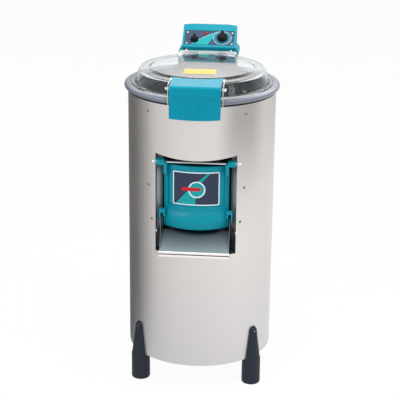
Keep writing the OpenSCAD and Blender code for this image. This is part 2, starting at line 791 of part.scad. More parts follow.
module cable_gland() color(black) on_axis() difference() {
    out = sqrt(body_r * body_r - (abs(gland_x) - 16) * (abs(gland_x) - 16));
    translate([gland_x, 0, gland_z]) rotate([-90, 0, 0]) difference() {
        union() {
            translate([0, 0, out - 34]) cylinder(r = gland_thread_r, h = 60);
            translate([0, 0, out - 14]) cylinder(r = 15, h = 22, $fn = 6);
            translate([0, 0, out + 8]) cylinder(r1 = 13, r2 = 9, h = 14);
        }
        translate([0, 0, out - 40]) cylinder(r = 4.5, h = 90);
        translate([0, 0, out + 2]) cylinder(r = 5.5, h = 50);
    }
    difference() {
        disc(body_r + seat_fit, gland_z - 30, gland_z + 30);
        translate([gland_x, 0, gland_z]) rotate([-90, 0, 0]) cylinder(r = gland_thread_r, h = far);
    }
}

// ---------------------------------------------------------------- rear bridge and hinge

module bridge_section(x0, x1, r) {
    translate([x0, hinge_y, hinge_z]) rotate([0, 90, 0]) cylinder(r = r, h = x1 - x0, $fn = 48);
}

module rear_bridge() color(steel) on_axis() {
    half = bridge_w / 2;
    t = bridge_t;
    low = deck_z - 110;
    z = rim_z + seat_fit;
    difference() {
        union() {
            intersection() {
                disc(body_r - 4, z, z + t);
                block([-104, wall_y, 0], [104, far, far * 3]);
            }
            block([-half, wall_y, z], [half, wall_y + t, deck_z]);
            block([-half, wall_y, deck_z - t], [half, console_back - 12, deck_z]);
            block([-half, back_y, low], [half, back_y + t, deck_z]);
            for (side = [-1, 1])
                side_plate(side * (half - t / 2) - t / 2, t, [[back_y, deck_z], [console_back - 14, deck_z],
                    [back_y, deck_z - 46]]);
            for (x = bridge_bolt_x, z = bridge_bolt_z)
                translate([x, body_r - 30, z]) rotate([-90, 0, 0]) cylinder(r = 9, h = back_y - body_r + 30.5, $fn = 48);
            for (k = knuckle_x) {
                bridge_section(k[0], k[1], knuckle_d / 2);
                block([k[0], hinge_y - 3, deck_z - eps], [k[1], hinge_y + 3, hinge_z]);
            }
        }
        disc(body_r + seat_fit, 0, z - 12);
        translate([0, hinge_y, hinge_z]) rotate([0, 90, 0])
            cylinder(r = hinge_pin_d / 2 + 0.02, h = far, center = true, $fn = 48);
        for (x = bridge_bolt_x, z = bridge_bolt_z)
            translate([x, body_r - 60, z]) rotate([-90, 0, 0]) cylinder(r = 3.1, h = 120, $fn = 24);
        for (x = console_screw_x)
            translate([x, console_back - 34, deck_z - 10]) cylinder(r = 2.6, h = 20, $fn = 24);
    }
}

console_screw_x = [-60, 60];

module bridge_bolts() color("#b8babc") on_axis() {
    for (x = bridge_bolt_x, z = bridge_bolt_z)
        translate([x, back_y + bridge_t, z]) rotate([-90, 0, 0]) {
            dome_head(6, 4);
            translate([0, 0, -24]) cylinder(r = 3, h = 24 + eps, $fn = 24);
        }
    for (x = console_screw_x)
        translate([x, console_back - 34, deck_z - bridge_t]) rotate([180, 0, 0]) {
            dome_head(5, 3);
            translate([0, 0, -8]) cylinder(r = 2.5, h = 8 + eps, $fn = 24);
        }
}

module hinge_pin() color("#d5d7da") on_axis()
    translate([0, hinge_y, hinge_z]) rotate([0, 90, 0]) {
        cylinder(r = hinge_pin_d / 2, h = 162, center = true, $fn = 48);
        for (side = [0, 180])
            rotate([side, 0, 0]) translate([0, 0, 79.2]) dome_head(4.6, 3);
    }

module lid_switch() color(black) on_axis() {
    y = wall_y + bridge_t + 0.1;
    block([-14, y, rim_z + bridge_t + 0.3], [14, y + 14, rim_z + bridge_t + 18]);
}

// ---------------------------------------------------------------- console

// The side outline of the console, at a distance w inside its outer faces.
module console_outline(w) {
    slope = tan(face_tilt);
    up = console_h + deck_z;
    y0 = lip_face_y + w;
    face_shift = w / cos(face_tilt);
    y_top = console_back - 5 - w;
    polygon([
        [lip_face_y + 7 + w, console_z - eps + (w > 0 ? -1 : 0)], [lip_face_y + 7 + w, face_z - 4 + w],
        [y0, face_z - 4 + w], [y0, face_z + (w > 0 ? w * tan(face_tilt) - face_shift : 0)],
        [y_top, face_z + (y_top - lip_face_y) * slope - face_shift],
        [console_back - w, face_z + (y_top - lip_face_y) * slope - face_shift - 5],
        [console_back - w, console_z - eps + (w > 0 ? -1 : 0)]]);
}

module console_housing() color(teal) on_axis() {
    half = console_w / 2;
    flare = console_base_w / 2;
    crown = 488;
    difference() {
        union() {
            intersection() {
                translate([-half, 0, 0]) rotate([90, 0, 90]) linear_extrude(2 * half) console_outline(0);
                translate([0, 0, deck_z + console_h - crown]) rotate([90, 0, 0])
                    cylinder(r = crown, h = far * 3, center = true, $fn = 360);
            }
            // cheeks beside the recessed front, flared out to the base
            for (side = [0, 1])
                mirror([side, 0, 0]) translate([0, console_back - 6, 0]) rotate([90, 0, 0])
                    linear_extrude(console_back - 6 - lip_face_y + 1)
                        polygon([[half - 3.5, console_z], [flare, console_z], [flare, console_z + 7],
                            [half, console_z + 20], [half - 3.5, console_z + 20]]);
        }
        translate([-half + console_t, 0, 0]) rotate([90, 0, 90])
            linear_extrude(2 * half - 2 * console_t) console_outline(console_t);
        on_face(0, panel_s, -panel_t) translate([-panel_w / 2 - 1, -panel_h / 2 - 1, 0])
            cube([panel_w + 2, panel_h + 2, 10]);
        on_face(0, panel_s, -20) translate([-panel_w / 2 + 6, -panel_h / 2 + 6, 0])
            cube([panel_w - 12, panel_h - 12, 30]);
        for (x = [-64, 64])
            translate([x, lip_face_y, console_z + 8]) rotate([-90, 0, 0]) cylinder(r = 2.1, h = 20, $fn = 24);
    }
}

module console_base() color("#5a6068") on_axis() difference() {
    half = console_w / 2 - console_t - 0.2;
    block([-half, lip_face_y + 7 + console_t + 0.2, console_z], [half, console_back - console_t - 0.2, console_z + 2]);
    for (x = console_screw_x)
        translate([x, console_back - 34, deck_z - 10]) cylinder(r = 2.6, h = 20, $fn = 24);
}

module console_screws() color("#e8e8e4") on_axis()
    for (x = [-64, 64])
        translate([x, lip_face_y + 7, console_z + 8]) rotate([90, 0, 0]) {
            dome_head(4.5, 3);
            translate([0, 0, -6]) cylinder(r = 2, h = 6 + eps, $fn = 24);
        }

module control_panel() color("#3c4a63") on_axis() difference() {
    on_face(0, panel_s, -panel_t) translate([-panel_w / 2, -panel_h / 2, 0]) cube([panel_w, panel_h, panel_t - 0.4]);
    on_face(selector_x, selector_s, -10) cylinder(r = spindle_r + run_fit, h = 20, $fn = 32);
    on_face(timer_x, timer_s, -10) cylinder(r = spindle_r + run_fit, h = 20, $fn = 32);
    on_face(lamp_x, lamp_s, -10) cylinder(r = lamp_d / 2 - 1.4, h = 20, $fn = 32);
    for (p = panel_screw_places)
        on_face(p[0], panel_s + p[1], -10) cylinder(r = 1.6, h = 20, $fn = 24);
}

panel_screw_places = [for (x = [-1, 1], s = [-1, 1]) [x * (panel_w / 2 - 6), s * (panel_h / 2 - 6)]];

module panel_screws() color("#f0f2f4") on_axis()
    for (p = panel_screw_places)
        on_face(p[0], panel_s + p[1], -0.4) {
            dome_head(3, 1.6);
            translate([0, 0, -1.5]) cylinder(r = 1.5, h = 1.5 + eps, $fn = 24);
        }

module indicator_lamp() color("#8a1c22") on_axis() on_face(lamp_x, lamp_s, -0.4) {
    dome_head(lamp_d / 2, 4);
    translate([0, 0, -16]) cylinder(r = lamp_d / 2 - 1.5, h = 16 + eps, $fn = 32);
}

module timer_body() color("#d8d4c8") on_axis() difference() {
    on_face(timer_x, timer_s, -panel_t - 26) translate([-19, -19, 0]) cube([38, 38, 26 - 0.05]);
    on_face(timer_x, timer_s, -20) cylinder(r = spindle_r + run_fit, h = 30, $fn = 32);
}

module switch_body() color("#d8d4c8") on_axis() difference() {
    on_face(selector_x, selector_s, -panel_t - 24) translate([-14, -12, 0]) cube([28, 28, 24 - 0.05]);
    on_face(selector_x, selector_s, -20) cylinder(r = spindle_r + run_fit, h = 30, $fn = 32);
}

module spindle(x, s) {
    on_face(x, s, -16) cylinder(r = spindle_r, h = 24, $fn = 32);
}

module selector_spindle() color("#d5d7da") on_axis() spindle(selector_x, selector_s);
module timer_spindle() color("#d5d7da") on_axis() spindle(timer_x, timer_s);

// A knob with a skirt and a narrow grip that points up the face.
module grip_knob(r, skirt_h, h, grip_w) {
    difference() {
        union() {
            cylinder(r = r, h = skirt_h);
            intersection() {
                cylinder(r1 = r - 1, r2 = r - 2.5, h = h);
                translate([-grip_w / 2, -r, 0]) cube([grip_w, 2 * r, h + 1]);
            }
            cylinder(r1 = r - 1, r2 = r - 4.5, h = skirt_h + (h - skirt_h) * 0.45);
        }
        translate([0, 0, -1]) cylinder(r = spindle_r + 0.02, h = 9.5, $fn = 32);
    }
}

module selector_knob() color(black) on_axis() on_face(selector_x, selector_s, -0.4 + move_gap)
    grip_knob(selector_d / 2, 3, 16, 7);

module timer_knob() color(black) on_axis() on_face(timer_x, timer_s, -0.4 + move_gap)
    grip_knob(timer_d / 2, 4, 18, 9);

// ---------------------------------------------------------------- lid

function lid_path(w) = concat(
    [[flange_r, lid_z + lid_t - w], [cone_r - w * 0.9, lid_z + lid_t - w]],
    [[land_r + 1 - w * 0.9, land_z - 3 - w * 0.3], [land_r - 2 - w * 0.6, land_z - w]],
    [[plateau_r + 1.5 - w * 0.3, land_z - w], [plateau_r - 2 - w * 0.5, plateau_z - w]],
    [for (i = [1:6]) let (q = 1 - i / 6)
        [(plateau_r - 2 - w * 0.5) * q, plateau_z - w + crown_h * (1 - q * q)]]);

module lid_profile(w) {
    path = lid_path(w);
    polygon(concat([[0, lid_z], [flange_r, lid_z]], path));
}

module lid_cover() color("#dfeaf0", 0.4) on_axis() {
    difference() {
        intersection() {
            rotate_extrude($fn = 144) lid_profile(0);
            block([-far, -far, 0], [far, chord_y, far * 3]);
        }
        intersection() {
            translate([0, 0, -eps]) rotate_extrude($fn = 144) polygon(concat([[0, lid_z - 1], [cone_r - lid_t * 0.9, lid_z - 1]],
                [for (i = [1:len(lid_path(lid_t)) - 1]) lid_path(lid_t)[i]]));
            block([-far, -far, 0], [far, chord_y - lid_t, far * 3]);
        }
        for (p = lid_bolt_places)
            translate([p[0], p[1], land_z - 20]) cylinder(r = 2.1, h = 40, $fn = 24);
    }
}

leaf_front_r = plateau_r + 3;
leaf_bolt_places = [for (x = [-62, -22, 22, 62]) [x, sqrt(pow(leaf_front_r + 6.5, 2) - x * x)]];
bracket_bolt_places = [for (x = [-56, 56]) [x, -sqrt(pow(leaf_front_r + 9, 2) - x * x)]];
lid_bolt_places = concat(leaf_bolt_places, bracket_bolt_places);
bracket_t = 1.5;

module hinge_leaf() color(steel) on_axis() {
    z = land_z + eps;
    half = 79;
    knuckle_r = knuckle_d / 2;
    difference() {
        union() {
            block([-half, plateau_r - 42, z], [half, hinge_y - knuckle_r - 1, z + leaf_t]);
            for (k = leaf_knuckle_x) {
                bridge_section(k[0], k[1], knuckle_r);
                block([k[0], hinge_y - knuckle_r - 2, z], [k[1], hinge_y, z + leaf_t]);
            }
        }
        disc(leaf_front_r, 0, far * 3);
        translate([0, hinge_y, hinge_z]) rotate([0, 90, 0])
            cylinder(r = hinge_pin_d / 2 + run_fit, h = far, center = true, $fn = 48);
        for (p = lid_bolt_places)
            translate([p[0], p[1], land_z - 20]) cylinder(r = 2.1, h = 40, $fn = 24);
    }
}

module lid_bolts() color("#e8e8e4") on_axis() {
    for (p = leaf_bolt_places)
        translate([p[0], p[1], land_z + leaf_t + 0.05]) {
            dome_head(4.2, 2.2);
            translate([0, 0, -8]) cylinder(r = 2, h = 8 + eps, $fn = 24);
        }
    // flush bolts under the handle
    for (p = bracket_bolt_places)
        translate([p[0], p[1], land_z]) {
            translate([0, 0, 0.05]) cylinder(r = 3.5, h = bracket_t - 0.1, $fn = 48);
            translate([0, 0, -6]) cylinder(r = 2, h = 7, $fn = 24);
        }
}

module latch_bracket() color(steel) on_axis() {
    z = land_z + eps;
    t = cheek_t;
    x = cheek_x;
    difference() {
        union() {
            intersection() {
                tube(land_r - 1, leaf_front_r + 1, z, z + bracket_t);
                block([-x - t, -far, 0], [x + t, 0, far * 3]);
            }
            for (side = [-1, 1])
                side_plate(side * (x + t / 2) - t / 2, t, [
                    [-sqrt(pow(leaf_front_r + 1, 2) - x * x), z], [-land_r + 14, z], [-pivot_y + 9, pivot_z - 11],
                    [-body_r, rim_z + 7], [-body_r, rim_z - 13], [-pivot_y - 7, rim_z - 13],
                    [-pivot_y - 11, rim_z], [-pivot_y - 9, pivot_z + 4], [-pivot_y - 4, pivot_z + 9],
                    [-pivot_y + 6, handle_top], [-sqrt(pow(leaf_front_r + 1, 2) - x * x), handle_top - 2]]);
        }
        translate([0, -pivot_y, pivot_z]) rotate([0, 90, 0])
            cylinder(r = 3.02, h = far, center = true, $fn = 48);
        for (p = bracket_bolt_places)
            translate([p[0], p[1], land_z - 20]) cylinder(r = 3.6, h = 40, $fn = 48);
    }
}

module latch_rod() color("#d5d7da") on_axis()
    translate([0, -pivot_y, pivot_z]) rotate([0, 90, 0])
        cylinder(r = 3, h = 2 * (cheek_x + cheek_t + 5), center = true, $fn = 48);

module latch_nuts() color("#e8e8e4") on_axis() difference() {
    for (side = [-1, 1])
        translate([side * (cheek_x + cheek_t + 0.05), -pivot_y, pivot_z]) rotate([0, side * 90, 0]) {
            cylinder(r = 5.2, h = 4, $fn = 6);
            translate([0, 0, 4]) dome_head(4.2, 4);
        }
    translate([0, -pivot_y, pivot_z]) rotate([0, 90, 0])
        cylinder(r = 3.02, h = 2 * (cheek_x + cheek_t + 5) + 0.1, center = true, $fn = 48);
}

module latch_spring() color("#b8babc") on_axis() translate([0, -pivot_y, pivot_z]) rotate([0, 90, 0]) {
    for (i = [0:11])
        translate([0, 0, -12 + i * 2]) rotate_extrude($fn = 48) translate([4.6, 0]) circle(r = 0.9, $fn = 16);
    for (side = [-1, 1])
        translate([0, 4.6, side * 12 - (side + 1) * 0.5 * 2]) rotate([0, -90, 0])
            cylinder(r = 0.8, h = 7.2, $fn = 16);
}

module latch_handle() color("#0094ae") on_axis() {
    half = handle_w / 2;
    t = handle_t;
    low = handle_top - handle_h;
    round_r = 6;
    bow = 600;
    under = handle_top - t;
    difference() {
        intersection() {
            union() {
                // top plate and front skirt with a rounded front edge
                block([-half, -handle_y + round_r, under], [half, -100, handle_top]);
                block([-half, -handle_y, low - 10], [half, -handle_y + t + 0.5, handle_top - round_r]);
                translate([-half, -handle_y + round_r, handle_top - round_r]) rotate([0, 90, 0])
                    difference() {
                        cylinder(r = round_r, h = 2 * half, $fn = 64);
                        translate([0, 0, -1]) cylinder(r = round_r - t, h = 2 * half + 2, $fn = 64);
                        translate([-round_r * 2, 0, -1]) cube([round_r * 4, round_r * 2, 2 * half + 2]);
                        translate([0, -round_r * 2, -1]) cube([round_r * 4, round_r * 4, 2 * half + 2]);
                    }
                // proud band along the top of the skirt, and moulded ribs below it
                block([-half, -handle_y - band_t, handle_top - 26], [half, -handle_y + 1, handle_top - round_r]);
                for (x = [-48:12:48])
                    translate([x, -handle_y + 1.2, low + 8]) cylinder(r = 1.5, h = handle_h - 38, $fn = 24);
                // side walls and pivot bosses
                for (side = [-1, 1]) {
                    side_plate(side * (half - t / 2) - t / 2, t, [
                        [-handle_y + 1, low + 4], [-handle_y + 1, handle_top - 4], [-handle_y + 5, handle_top - 1],
                        [-pivot_y + 24, handle_top - 1], [-pivot_y + 14, pivot_z - 8],
                        [-handle_y + 15, rim_z + 8], [-handle_y + 9, low + 8]]);
                    translate([side * (half - 5.5), -pivot_y, pivot_z]) rotate([0, 90, 0])
                        cylinder(r = 7, h = 11, center = true, $fn = 48);
                    block([side * (half - 10) - 4, -handle_y + 1, rim_z - 24],
                          [side * (half - 10) + 4, -handle_y + 16, rim_z - 18]);
                }
            }
            translate([0, 0, low + bow]) rotate([90, 0, 0]) cylinder(r = bow, h = far * 2, center = true, $fn = 360);
        }
        disc(leaf_front_r + 1, 0, far * 3);
        translate([0, -pivot_y, pivot_z]) rotate([0, 90, 0])
            cylinder(r = 3 + run_fit, h = far, center = true, $fn = 48);
    }
}

// ---------------------------------------------------------------- door

// The door's section from radius r_in outwards, with its bulging lower skirt.
module door_section(r_in, inset) {
    bulge = 45;
    mid = door_bottom + 17;
    translate([r_in, door_bottom + inset]) square([rail_r - inset - r_in, door_top - door_bottom - 2 * inset]);
    intersection() {
        translate([skirt_r - bulge, mid]) circle(r = bulge - inset, $fn = 96);
        translate([r_in, door_bottom + inset]) square([60, 60 - inset]);
    }
}

module chute_door() color(teal) on_axis() {
    bow = 616;
    wall = 3;
    difference() {
        union() {
            intersection() {
                difference() {
                    rotate_extrude($fn = 144) door_section(door_in_r, 0);
                    // recessed front panel
                    intersection() {
                        tube(rail_r + 10, rail_r - 3, door_bottom + 62, door_top - 12);
                        block([-door_half + 11, -far, 0], [door_half - 11, 0, far * 3]);
                    }
                    // hollow back, with stiffening ribs left standing
                    difference() {
                        intersection() {
                            rotate_extrude($fn = 144) difference() {
                                door_section(door_in_r - 1, wall + 3);
                                translate([rail_r - 3 - wall, door_bottom + 55]) square([20, far]);
                            }
                            block([-door_half + wall, -far, 0], [door_half - wall, 0, far * 3]);
                        }
                        for (x = [-44, 0, 44])
                            block([x - 1.5, -far, 0], [x + 1.5, 0, far * 3]);
                    }
                    // flutes at both sides of the skirt
                    for (side = [-1, 1], i = [0:3])
                        at_angle(side * (15 + i * 4)) translate([0, -skirt_r - 1.6, door_bottom - 5])
                            cylinder(r = 3, h = 46, $fn = 32);
                }
                block([-door_half, -far, 0], [door_half, 0, far * 3]);
                translate([0, 0, door_bottom + bow]) rotate([90, 0, 0])
                    cylinder(r = bow, h = far * 2, center = true, $fn = 360);
            }
            // hinge bosses and their arms
            for (side = [-1, 1]) {
                translate([side * (door_half + 8), -rod_y, rod_z]) rotate([0, 90, 0])
                    cylinder(r = boss_d / 2, h = 21, center = true, $fn = 64);
                side_plate(side * (door_half - 4.5) - 4.5, 9, [[-rod_y - boss_d / 2 + 0.5, rod_z + 1],
                    [-rod_y + 7, rod_z + 3], [-rod_y + 18, door_top - 4], [-rod_y + 18, door_top - 24],
                    [-rod_y - 2, door_top - 24]]);
            }
            // hooked ears that straddle the tray's side walls
            for (side = [-1, 1]) {
                x = side * door_half;
                ear = door_bottom + 44;
                front = -rail_r - 1;
                mid = front + 12;
                root = front + 32;
                block([min(x - side * 4, x + side * 11), front, ear], [max(x - side * 4, x + side * 11), mid, ear + 8]);
                block([min(x + side * 7.5, x + side * 11), front, ear - 22],
                      [max(x + side * 7.5, x + side * 11), mid, ear + 1]);
                block([min(x - side * 4, x), front, ear - 10], [max(x - side * 4, x), root, ear + 8]);
            }
        }
        translate([0, -rod_y, rod_z]) rotate([0, 90, 0])
            cylinder(r = rod_d / 2 + run_fit, h = far, center = true, $fn = 48);
        disc(door_in_r, 0, far * 3);
    }
}

module door_liner() color(steel) on_axis() intersection() {
    tube(door_in_r - seat_fit, liner_plate_r, door_bottom + 8, door_top - 2);
    block([-door_half + 1, -far, 0], [door_half - 1, 0, far * 3]);
}

body_shell();
rim_ring();
top_collar();
drum();
drum_floor();
drum_liner();
discharge_surround();
surround_bolts();
chute_tray();
door_rod();
rod_caps();
base_plate();
leg_front_left();
leg_front_right();
leg_rear_left();
leg_rear_right();
leg_screws();
body_screws();
bearing_housing();
shaft_bearings();
shaft_seal();
motor_plate();
motor_housing();
frame_bolts();
drive_belt();
drain_outlet();
water_inlet();
cable_gland();
rear_bridge();
bridge_bolts();
hinge_pin();
console_housing();
console_base();
console_screws();
control_panel();
panel_screws();
indicator_lamp();
timer_body();
switch_body();
lid_switch();
lid_cover();
hinge_leaf();
lid_bolts();
latch_bracket();
latch_rod();
latch_nuts();
latch_spring();
latch_handle();
chute_door();
door_liner();
selector_knob();
selector_spindle();
timer_knob();
timer_spindle();
peeling_disc();
drive_shaft();
disc_cap();
driven_pulley();
motor_shaft();
motor_pulley();
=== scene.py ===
# %% [markdown]
# # An electric potato peeler, dressed for a picture
# The machine's exact parts come from the CAD model. This script gives every part its material,
# builds the softer and finer pieces that CAD leaves out, and sets up light and camera.
# Units are metres, +Z is up and the front of the machine looks towards -Y.

# %% Load the machine
import bpy
import bmesh
import math
from mathutils import Matrix, Vector
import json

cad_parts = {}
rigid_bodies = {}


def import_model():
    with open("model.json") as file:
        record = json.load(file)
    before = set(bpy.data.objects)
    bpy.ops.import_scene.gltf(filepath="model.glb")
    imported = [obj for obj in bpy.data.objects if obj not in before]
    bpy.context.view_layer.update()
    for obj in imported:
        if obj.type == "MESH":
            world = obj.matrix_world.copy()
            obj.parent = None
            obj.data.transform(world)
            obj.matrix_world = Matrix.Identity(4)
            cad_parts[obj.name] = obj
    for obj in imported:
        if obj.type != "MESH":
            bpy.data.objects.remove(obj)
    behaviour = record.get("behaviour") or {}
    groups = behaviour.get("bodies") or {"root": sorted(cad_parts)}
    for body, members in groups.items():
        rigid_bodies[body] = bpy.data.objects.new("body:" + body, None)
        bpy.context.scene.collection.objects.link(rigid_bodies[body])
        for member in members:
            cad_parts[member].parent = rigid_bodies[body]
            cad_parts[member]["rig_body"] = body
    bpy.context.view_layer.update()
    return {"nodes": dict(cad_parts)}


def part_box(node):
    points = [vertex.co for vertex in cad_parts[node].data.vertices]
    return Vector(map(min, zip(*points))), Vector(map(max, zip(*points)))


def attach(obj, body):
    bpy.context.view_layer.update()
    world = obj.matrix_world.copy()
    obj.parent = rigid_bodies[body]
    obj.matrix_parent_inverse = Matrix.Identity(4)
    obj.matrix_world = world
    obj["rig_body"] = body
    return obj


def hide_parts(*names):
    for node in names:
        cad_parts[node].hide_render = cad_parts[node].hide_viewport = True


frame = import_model()
nodes = frame["nodes"]
body_of_node = {name: part["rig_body"] for name, part in nodes.items()}
for plain in list(bpy.data.materials):
    bpy.data.materials.remove(plain)
scene = bpy.context.scene
MM = 0.001
# The drum's axis stands this far in front of the frame's own origin, in millimetres.
AXIS_Y = -24.6

# %% [markdown]
# ## Small tools for places and shaders
# Places on the machine are written in millimetres from the drum's axis, because that is how
# such a machine is measured. One function turns them into metres, and one turns a printed
# colour into the linear values that shaders use. A shader is a tree of nodes, and one helper
# adds each node and feeds it: a socket becomes a link, anything else a fixed value.


# %% Helpers for places, colours and nodes
def at(x, y, z):
    return Vector((x * MM, (y + AXIS_Y) * MM, z * MM))


def colour(hexcode):
    values = [int(hexcode[i:i + 2], 16) / 255 for i in (1, 3, 5)]
    linear = [v / 12.92 if v <= 0.04045 else ((v + 0.055) / 1.055) ** 2.4 for v in values]
    return (*linear, 1.0)


def add_node(tree, kind, **inputs):
    made = tree.nodes.new(kind)
    for name, value in inputs.items():
        # i0, i1 ... pick a socket by number, any other word picks it by name
        key = int(name[1:]) if name[0] == "i" and name[1:].isdigit() else name.replace("_", " ")
        if isinstance(value, bpy.types.NodeSocket):
            tree.links.new(value, made.inputs[key])
        else:
            made.inputs[key].default_value = value
    return made


def maths(tree, operation, one, two):
    made = add_node(tree, "ShaderNodeMath", i0=one, i1=two)
    made.operation = operation
    return made.outputs[0]


def new_material(name, **inputs):
    made = bpy.data.materials.new(name)
    made.use_nodes = True
    shader = made.node_tree.nodes["Principled BSDF"]
    for key, value in inputs.items():
        shader.inputs[key.replace("_", " ")].default_value = value
    return made, made.node_tree, shader


def object_place(tree, scale=(1, 1, 1)):
    where = add_node(tree, "ShaderNodeTexCoord").outputs["Object"]
    return add_node(tree, "ShaderNodeMapping", Vector=where, Scale=scale).outputs[0]


def noise(tree, scale, detail):
    place = object_place(tree, scale)
    return add_node(tree, "ShaderNodeTexNoise", Vector=place, Scale=1.0, Detail=detail).outputs[0]


def vary_roughness(tree, shader, value, low, high, least, most):
    ramp = add_node(tree, "ShaderNodeMapRange", Value=value, From_Min=low, From_Max=high,
                    To_Min=least, To_Max=most)
    tree.links.new(ramp.outputs[0], shader.inputs["Roughness"])


def bump(tree, shader, height, strength, distance):
    made = add_node(tree, "ShaderNodeBump", Height=height, Strength=strength, Distance=distance)
    tree.links.new(made.outputs[0], shader.inputs["Normal"])


def two_tones(tree, fac, first, last):
    ramp = add_node(tree, "ShaderNodeValToRGB", Fac=fac)
    ramp.color_ramp.elements[0].color = colour(first)
    ramp.color_ramp.elements[1].color = colour(last)
    return ramp.outputs[0]


def mixed_surface(tree, fac, first, last):
    mix = add_node(tree, "ShaderNodeMixShader", Fac=fac, i1=first.outputs[0], i2=last.outputs[0])
    tree.links.new(mix.outputs[0], tree.nodes["Material Output"].inputs["Surface"])


print("helpers ready, drum axis at", at(0, 0, 0))

# %% [markdown]
# ## Stainless steel and other metals
# The shell is rolled from sheet with a fine ground finish, whose grain runs round the drum.
# A noise that is squeezed hard along Z draws that grain: it changes quickly upwards and slowly
# sideways. It moves the roughness a little and tilts the surface by a few micrometres. Turned
# and plated parts have no such grain, so for them a soft round noise is enough.


# %% Metals
def ground_steel(name, tint, rough, grain=(14, 14, 2600), spread=0.10, tilt=0.12):
    made, tree, shader = new_material(name, Base_Color=colour(tint), Metallic=1.0, Roughness=rough)
    lines = noise(tree, grain, 3.0)
    cloud = noise(tree, (9, 9, 5), 2.0)
    both = maths(tree, "ADD", lines, cloud)
    vary_roughness(tree, shader, both, 0.6, 1.4, rough - spread / 2, rough + spread / 2)
    bump(tree, shader, lines, tilt, 0.02 * MM)
    return made


def plain_metal(name, tint, rough, speckle=0.0):
    made, tree, shader = new_material(name, Base_Color=colour(tint), Metallic=1.0, Roughness=rough)
    cloud = noise(tree, (60, 60, 60), 4.0)
    vary_roughness(tree, shader, cloud, 0.3, 0.7, rough * 0.8, rough * 1.25)
    if speckle:
        bump(tree, shader, noise(tree, (700, 700, 700), 2.0), speckle, 0.2 * MM)
    return made


def fade(material, axis, start, end, first, last):
    tree = material.node_tree
    where = add_node(tree, "ShaderNodeTexCoord").outputs["Object"]
    place = add_node(tree, "ShaderNodeSeparateXYZ", Vector=where)
    share = add_node(tree, "ShaderNodeMapRange", Value=place.outputs[axis],
                     From_Min=start, From_Max=end)
    tint = two_tones(tree, share.outputs[0], first, last)
    tree.links.new(tint, tree.nodes["Principled BSDF"].inputs["Base Color"])


# The shell: a broad soft sheen with fine lines; its colour turns a touch cooler and darker near the
# floor as painted shade.
shell_steel = ground_steel("shell_steel", "#D3CFCC", 0.30)
fade(shell_steel, 2, 0.04, 0.40, "#C6C3C6", "#D3CFCC")
# Plain sheet inside and underneath: greyer than the shell as painted shade, so it stays behind the
# shell.
inner_steel = ground_steel("inner_steel", "#A6A6A6", 0.30)
# The chute's tray: a dull blue grey with painted shade that darkens it towards the door, where the
# door's skirt shades it.
tray_steel = ground_steel("tray_steel", "#77868A", 0.34, grain=(14, 2600, 14), tilt=0.03)
fade(tray_steel, 1, -0.236, -0.19, "#76858A", "#363E42")
# The tray's folded lip: a lighter copy of the tray's steel, almost white, a painted highlight that
# draws the brightest line on the front.
lip_highlight_steel = ground_steel("lip_highlight_steel", "#EDECE9", 0.22)
# Satin sheet beside the door: a grey that fades into the dark of the recess.
recess_steel = ground_steel("recess_steel", "#A9ACB0", 0.5)
# The drum's wall seen through the lid: painted shade makes it nearly black, with a cool tinge.
shaded_drum_steel = ground_steel("shaded_drum_steel", "#252932", 0.36)
# The funnel under the lid: shiny, so it mirrors small bright spots, and dark with painted shade.
shaded_collar_steel = ground_steel("shaded_collar_steel", "#31363F", 0.16)
# Polished screws and bolts: small bright points.
bright_screws = plain_metal("bright_screws", "#DADBDC", 0.18)
# Screws of the shell and the legs: grey dots with a small highlight.
dark_screws = plain_metal("dark_screws", "#86888B", 0.2)
# Turned rods and shafts: a clean light streak along their length.
turned_steel = plain_metal("turned_steel", "#C8C9CB", 0.22)
# Cast housings and pulleys: a matt, slightly grainy grey.
cast_aluminium = plain_metal("cast_aluminium", "#A3A8AD", 0.48, speckle=0.5)
# The water inlet: a warmer metal than the steel round it.
plated_brass = plain_metal("plated_brass", "#ABA79C", 0.28)
print("metals:", [m.name for m in bpy.data.materials])

# %% [markdown]
# ## Plastics, rubber, paint and grit
# Moulded plastic isn't a mirror: a fine leathery grain from the mould scatters the light.
# The same recipe serves all the moulded parts, with its own colour, gloss and grain size.
# Grit is different: each stone has its own tone, and a cell pattern gives both tone and relief.


# %% Plastics and grit
def moulded(name, tint, rough, grain=900, depth=0.25, coat=0.0, spread=0.06, mirror=0.16):
    made, tree, shader = new_material(name, Base_Color=colour(tint), Roughness=rough,
                                      Coat_Weight=coat, Coat_Roughness=0.12,
                                      Specular_IOR_Level=mirror)
    fine = noise(tree, (grain,) * 3, 3.0)
    soft = noise(tree, (24, 24, 24), 2.0)
    vary_roughness(tree, shader, soft, 0.3, 0.7, rough - spread / 2, rough + spread / 2)
    bump(tree, shader, fine, depth, 0.08 * MM)
    return made


# Door and console: the machine's strong teal, satin, with soft highlights.
teal_plastic = moulded("teal_plastic", "#008D9F", 0.36)
# The latch paddle: a slightly bluer teal with less mirror, so its top stays coloured.
handle_plastic = moulded("handle_plastic", "#008CA4", 0.34, mirror=0.10)
# The legs: a matt blue black that carries the machine on the white floor.
leg_plastic = moulded("leg_plastic", "#252C36", 0.50, depth=0.5)
# The knobs: the darkest spots of the console, with a small gleam on their grips.
black_plastic = moulded("black_plastic", "#17191D", 0.34)
# The rim ring: a lilac grey with a glossy coat, a smooth dark frame for the lid.
ring_rubber = moulded("ring_rubber", "#6E7482", 0.2, grain=500, depth=0.05, coat=1.0)
# Belt and seals: dull black that swallows the light. It also paints the shadow band under the rim
# ring.
belt_rubber = moulded("belt_rubber", "#1A1B1E", 0.7)
# Switch bodies behind the panel: ivory, plainly not steel.
switch_plastic = moulded("switch_plastic", "#D8D4C8", 0.45)
# The console's panel: navy, quiet behind the knobs and the print.
panel_paint = moulded("panel_paint", "#3C4A63", 0.42, depth=0.1)
# The motor: grey enamel with a slight orange peel.
motor_paint = moulded("motor_paint", "#5A6470", 0.4, grain=300, depth=0.4)
# The lamp's cap: a deep red that shines a little under its coat.
lamp_glass = moulded("lamp_glass", "#7C2231", 0.18, depth=0.05, coat=0.5)

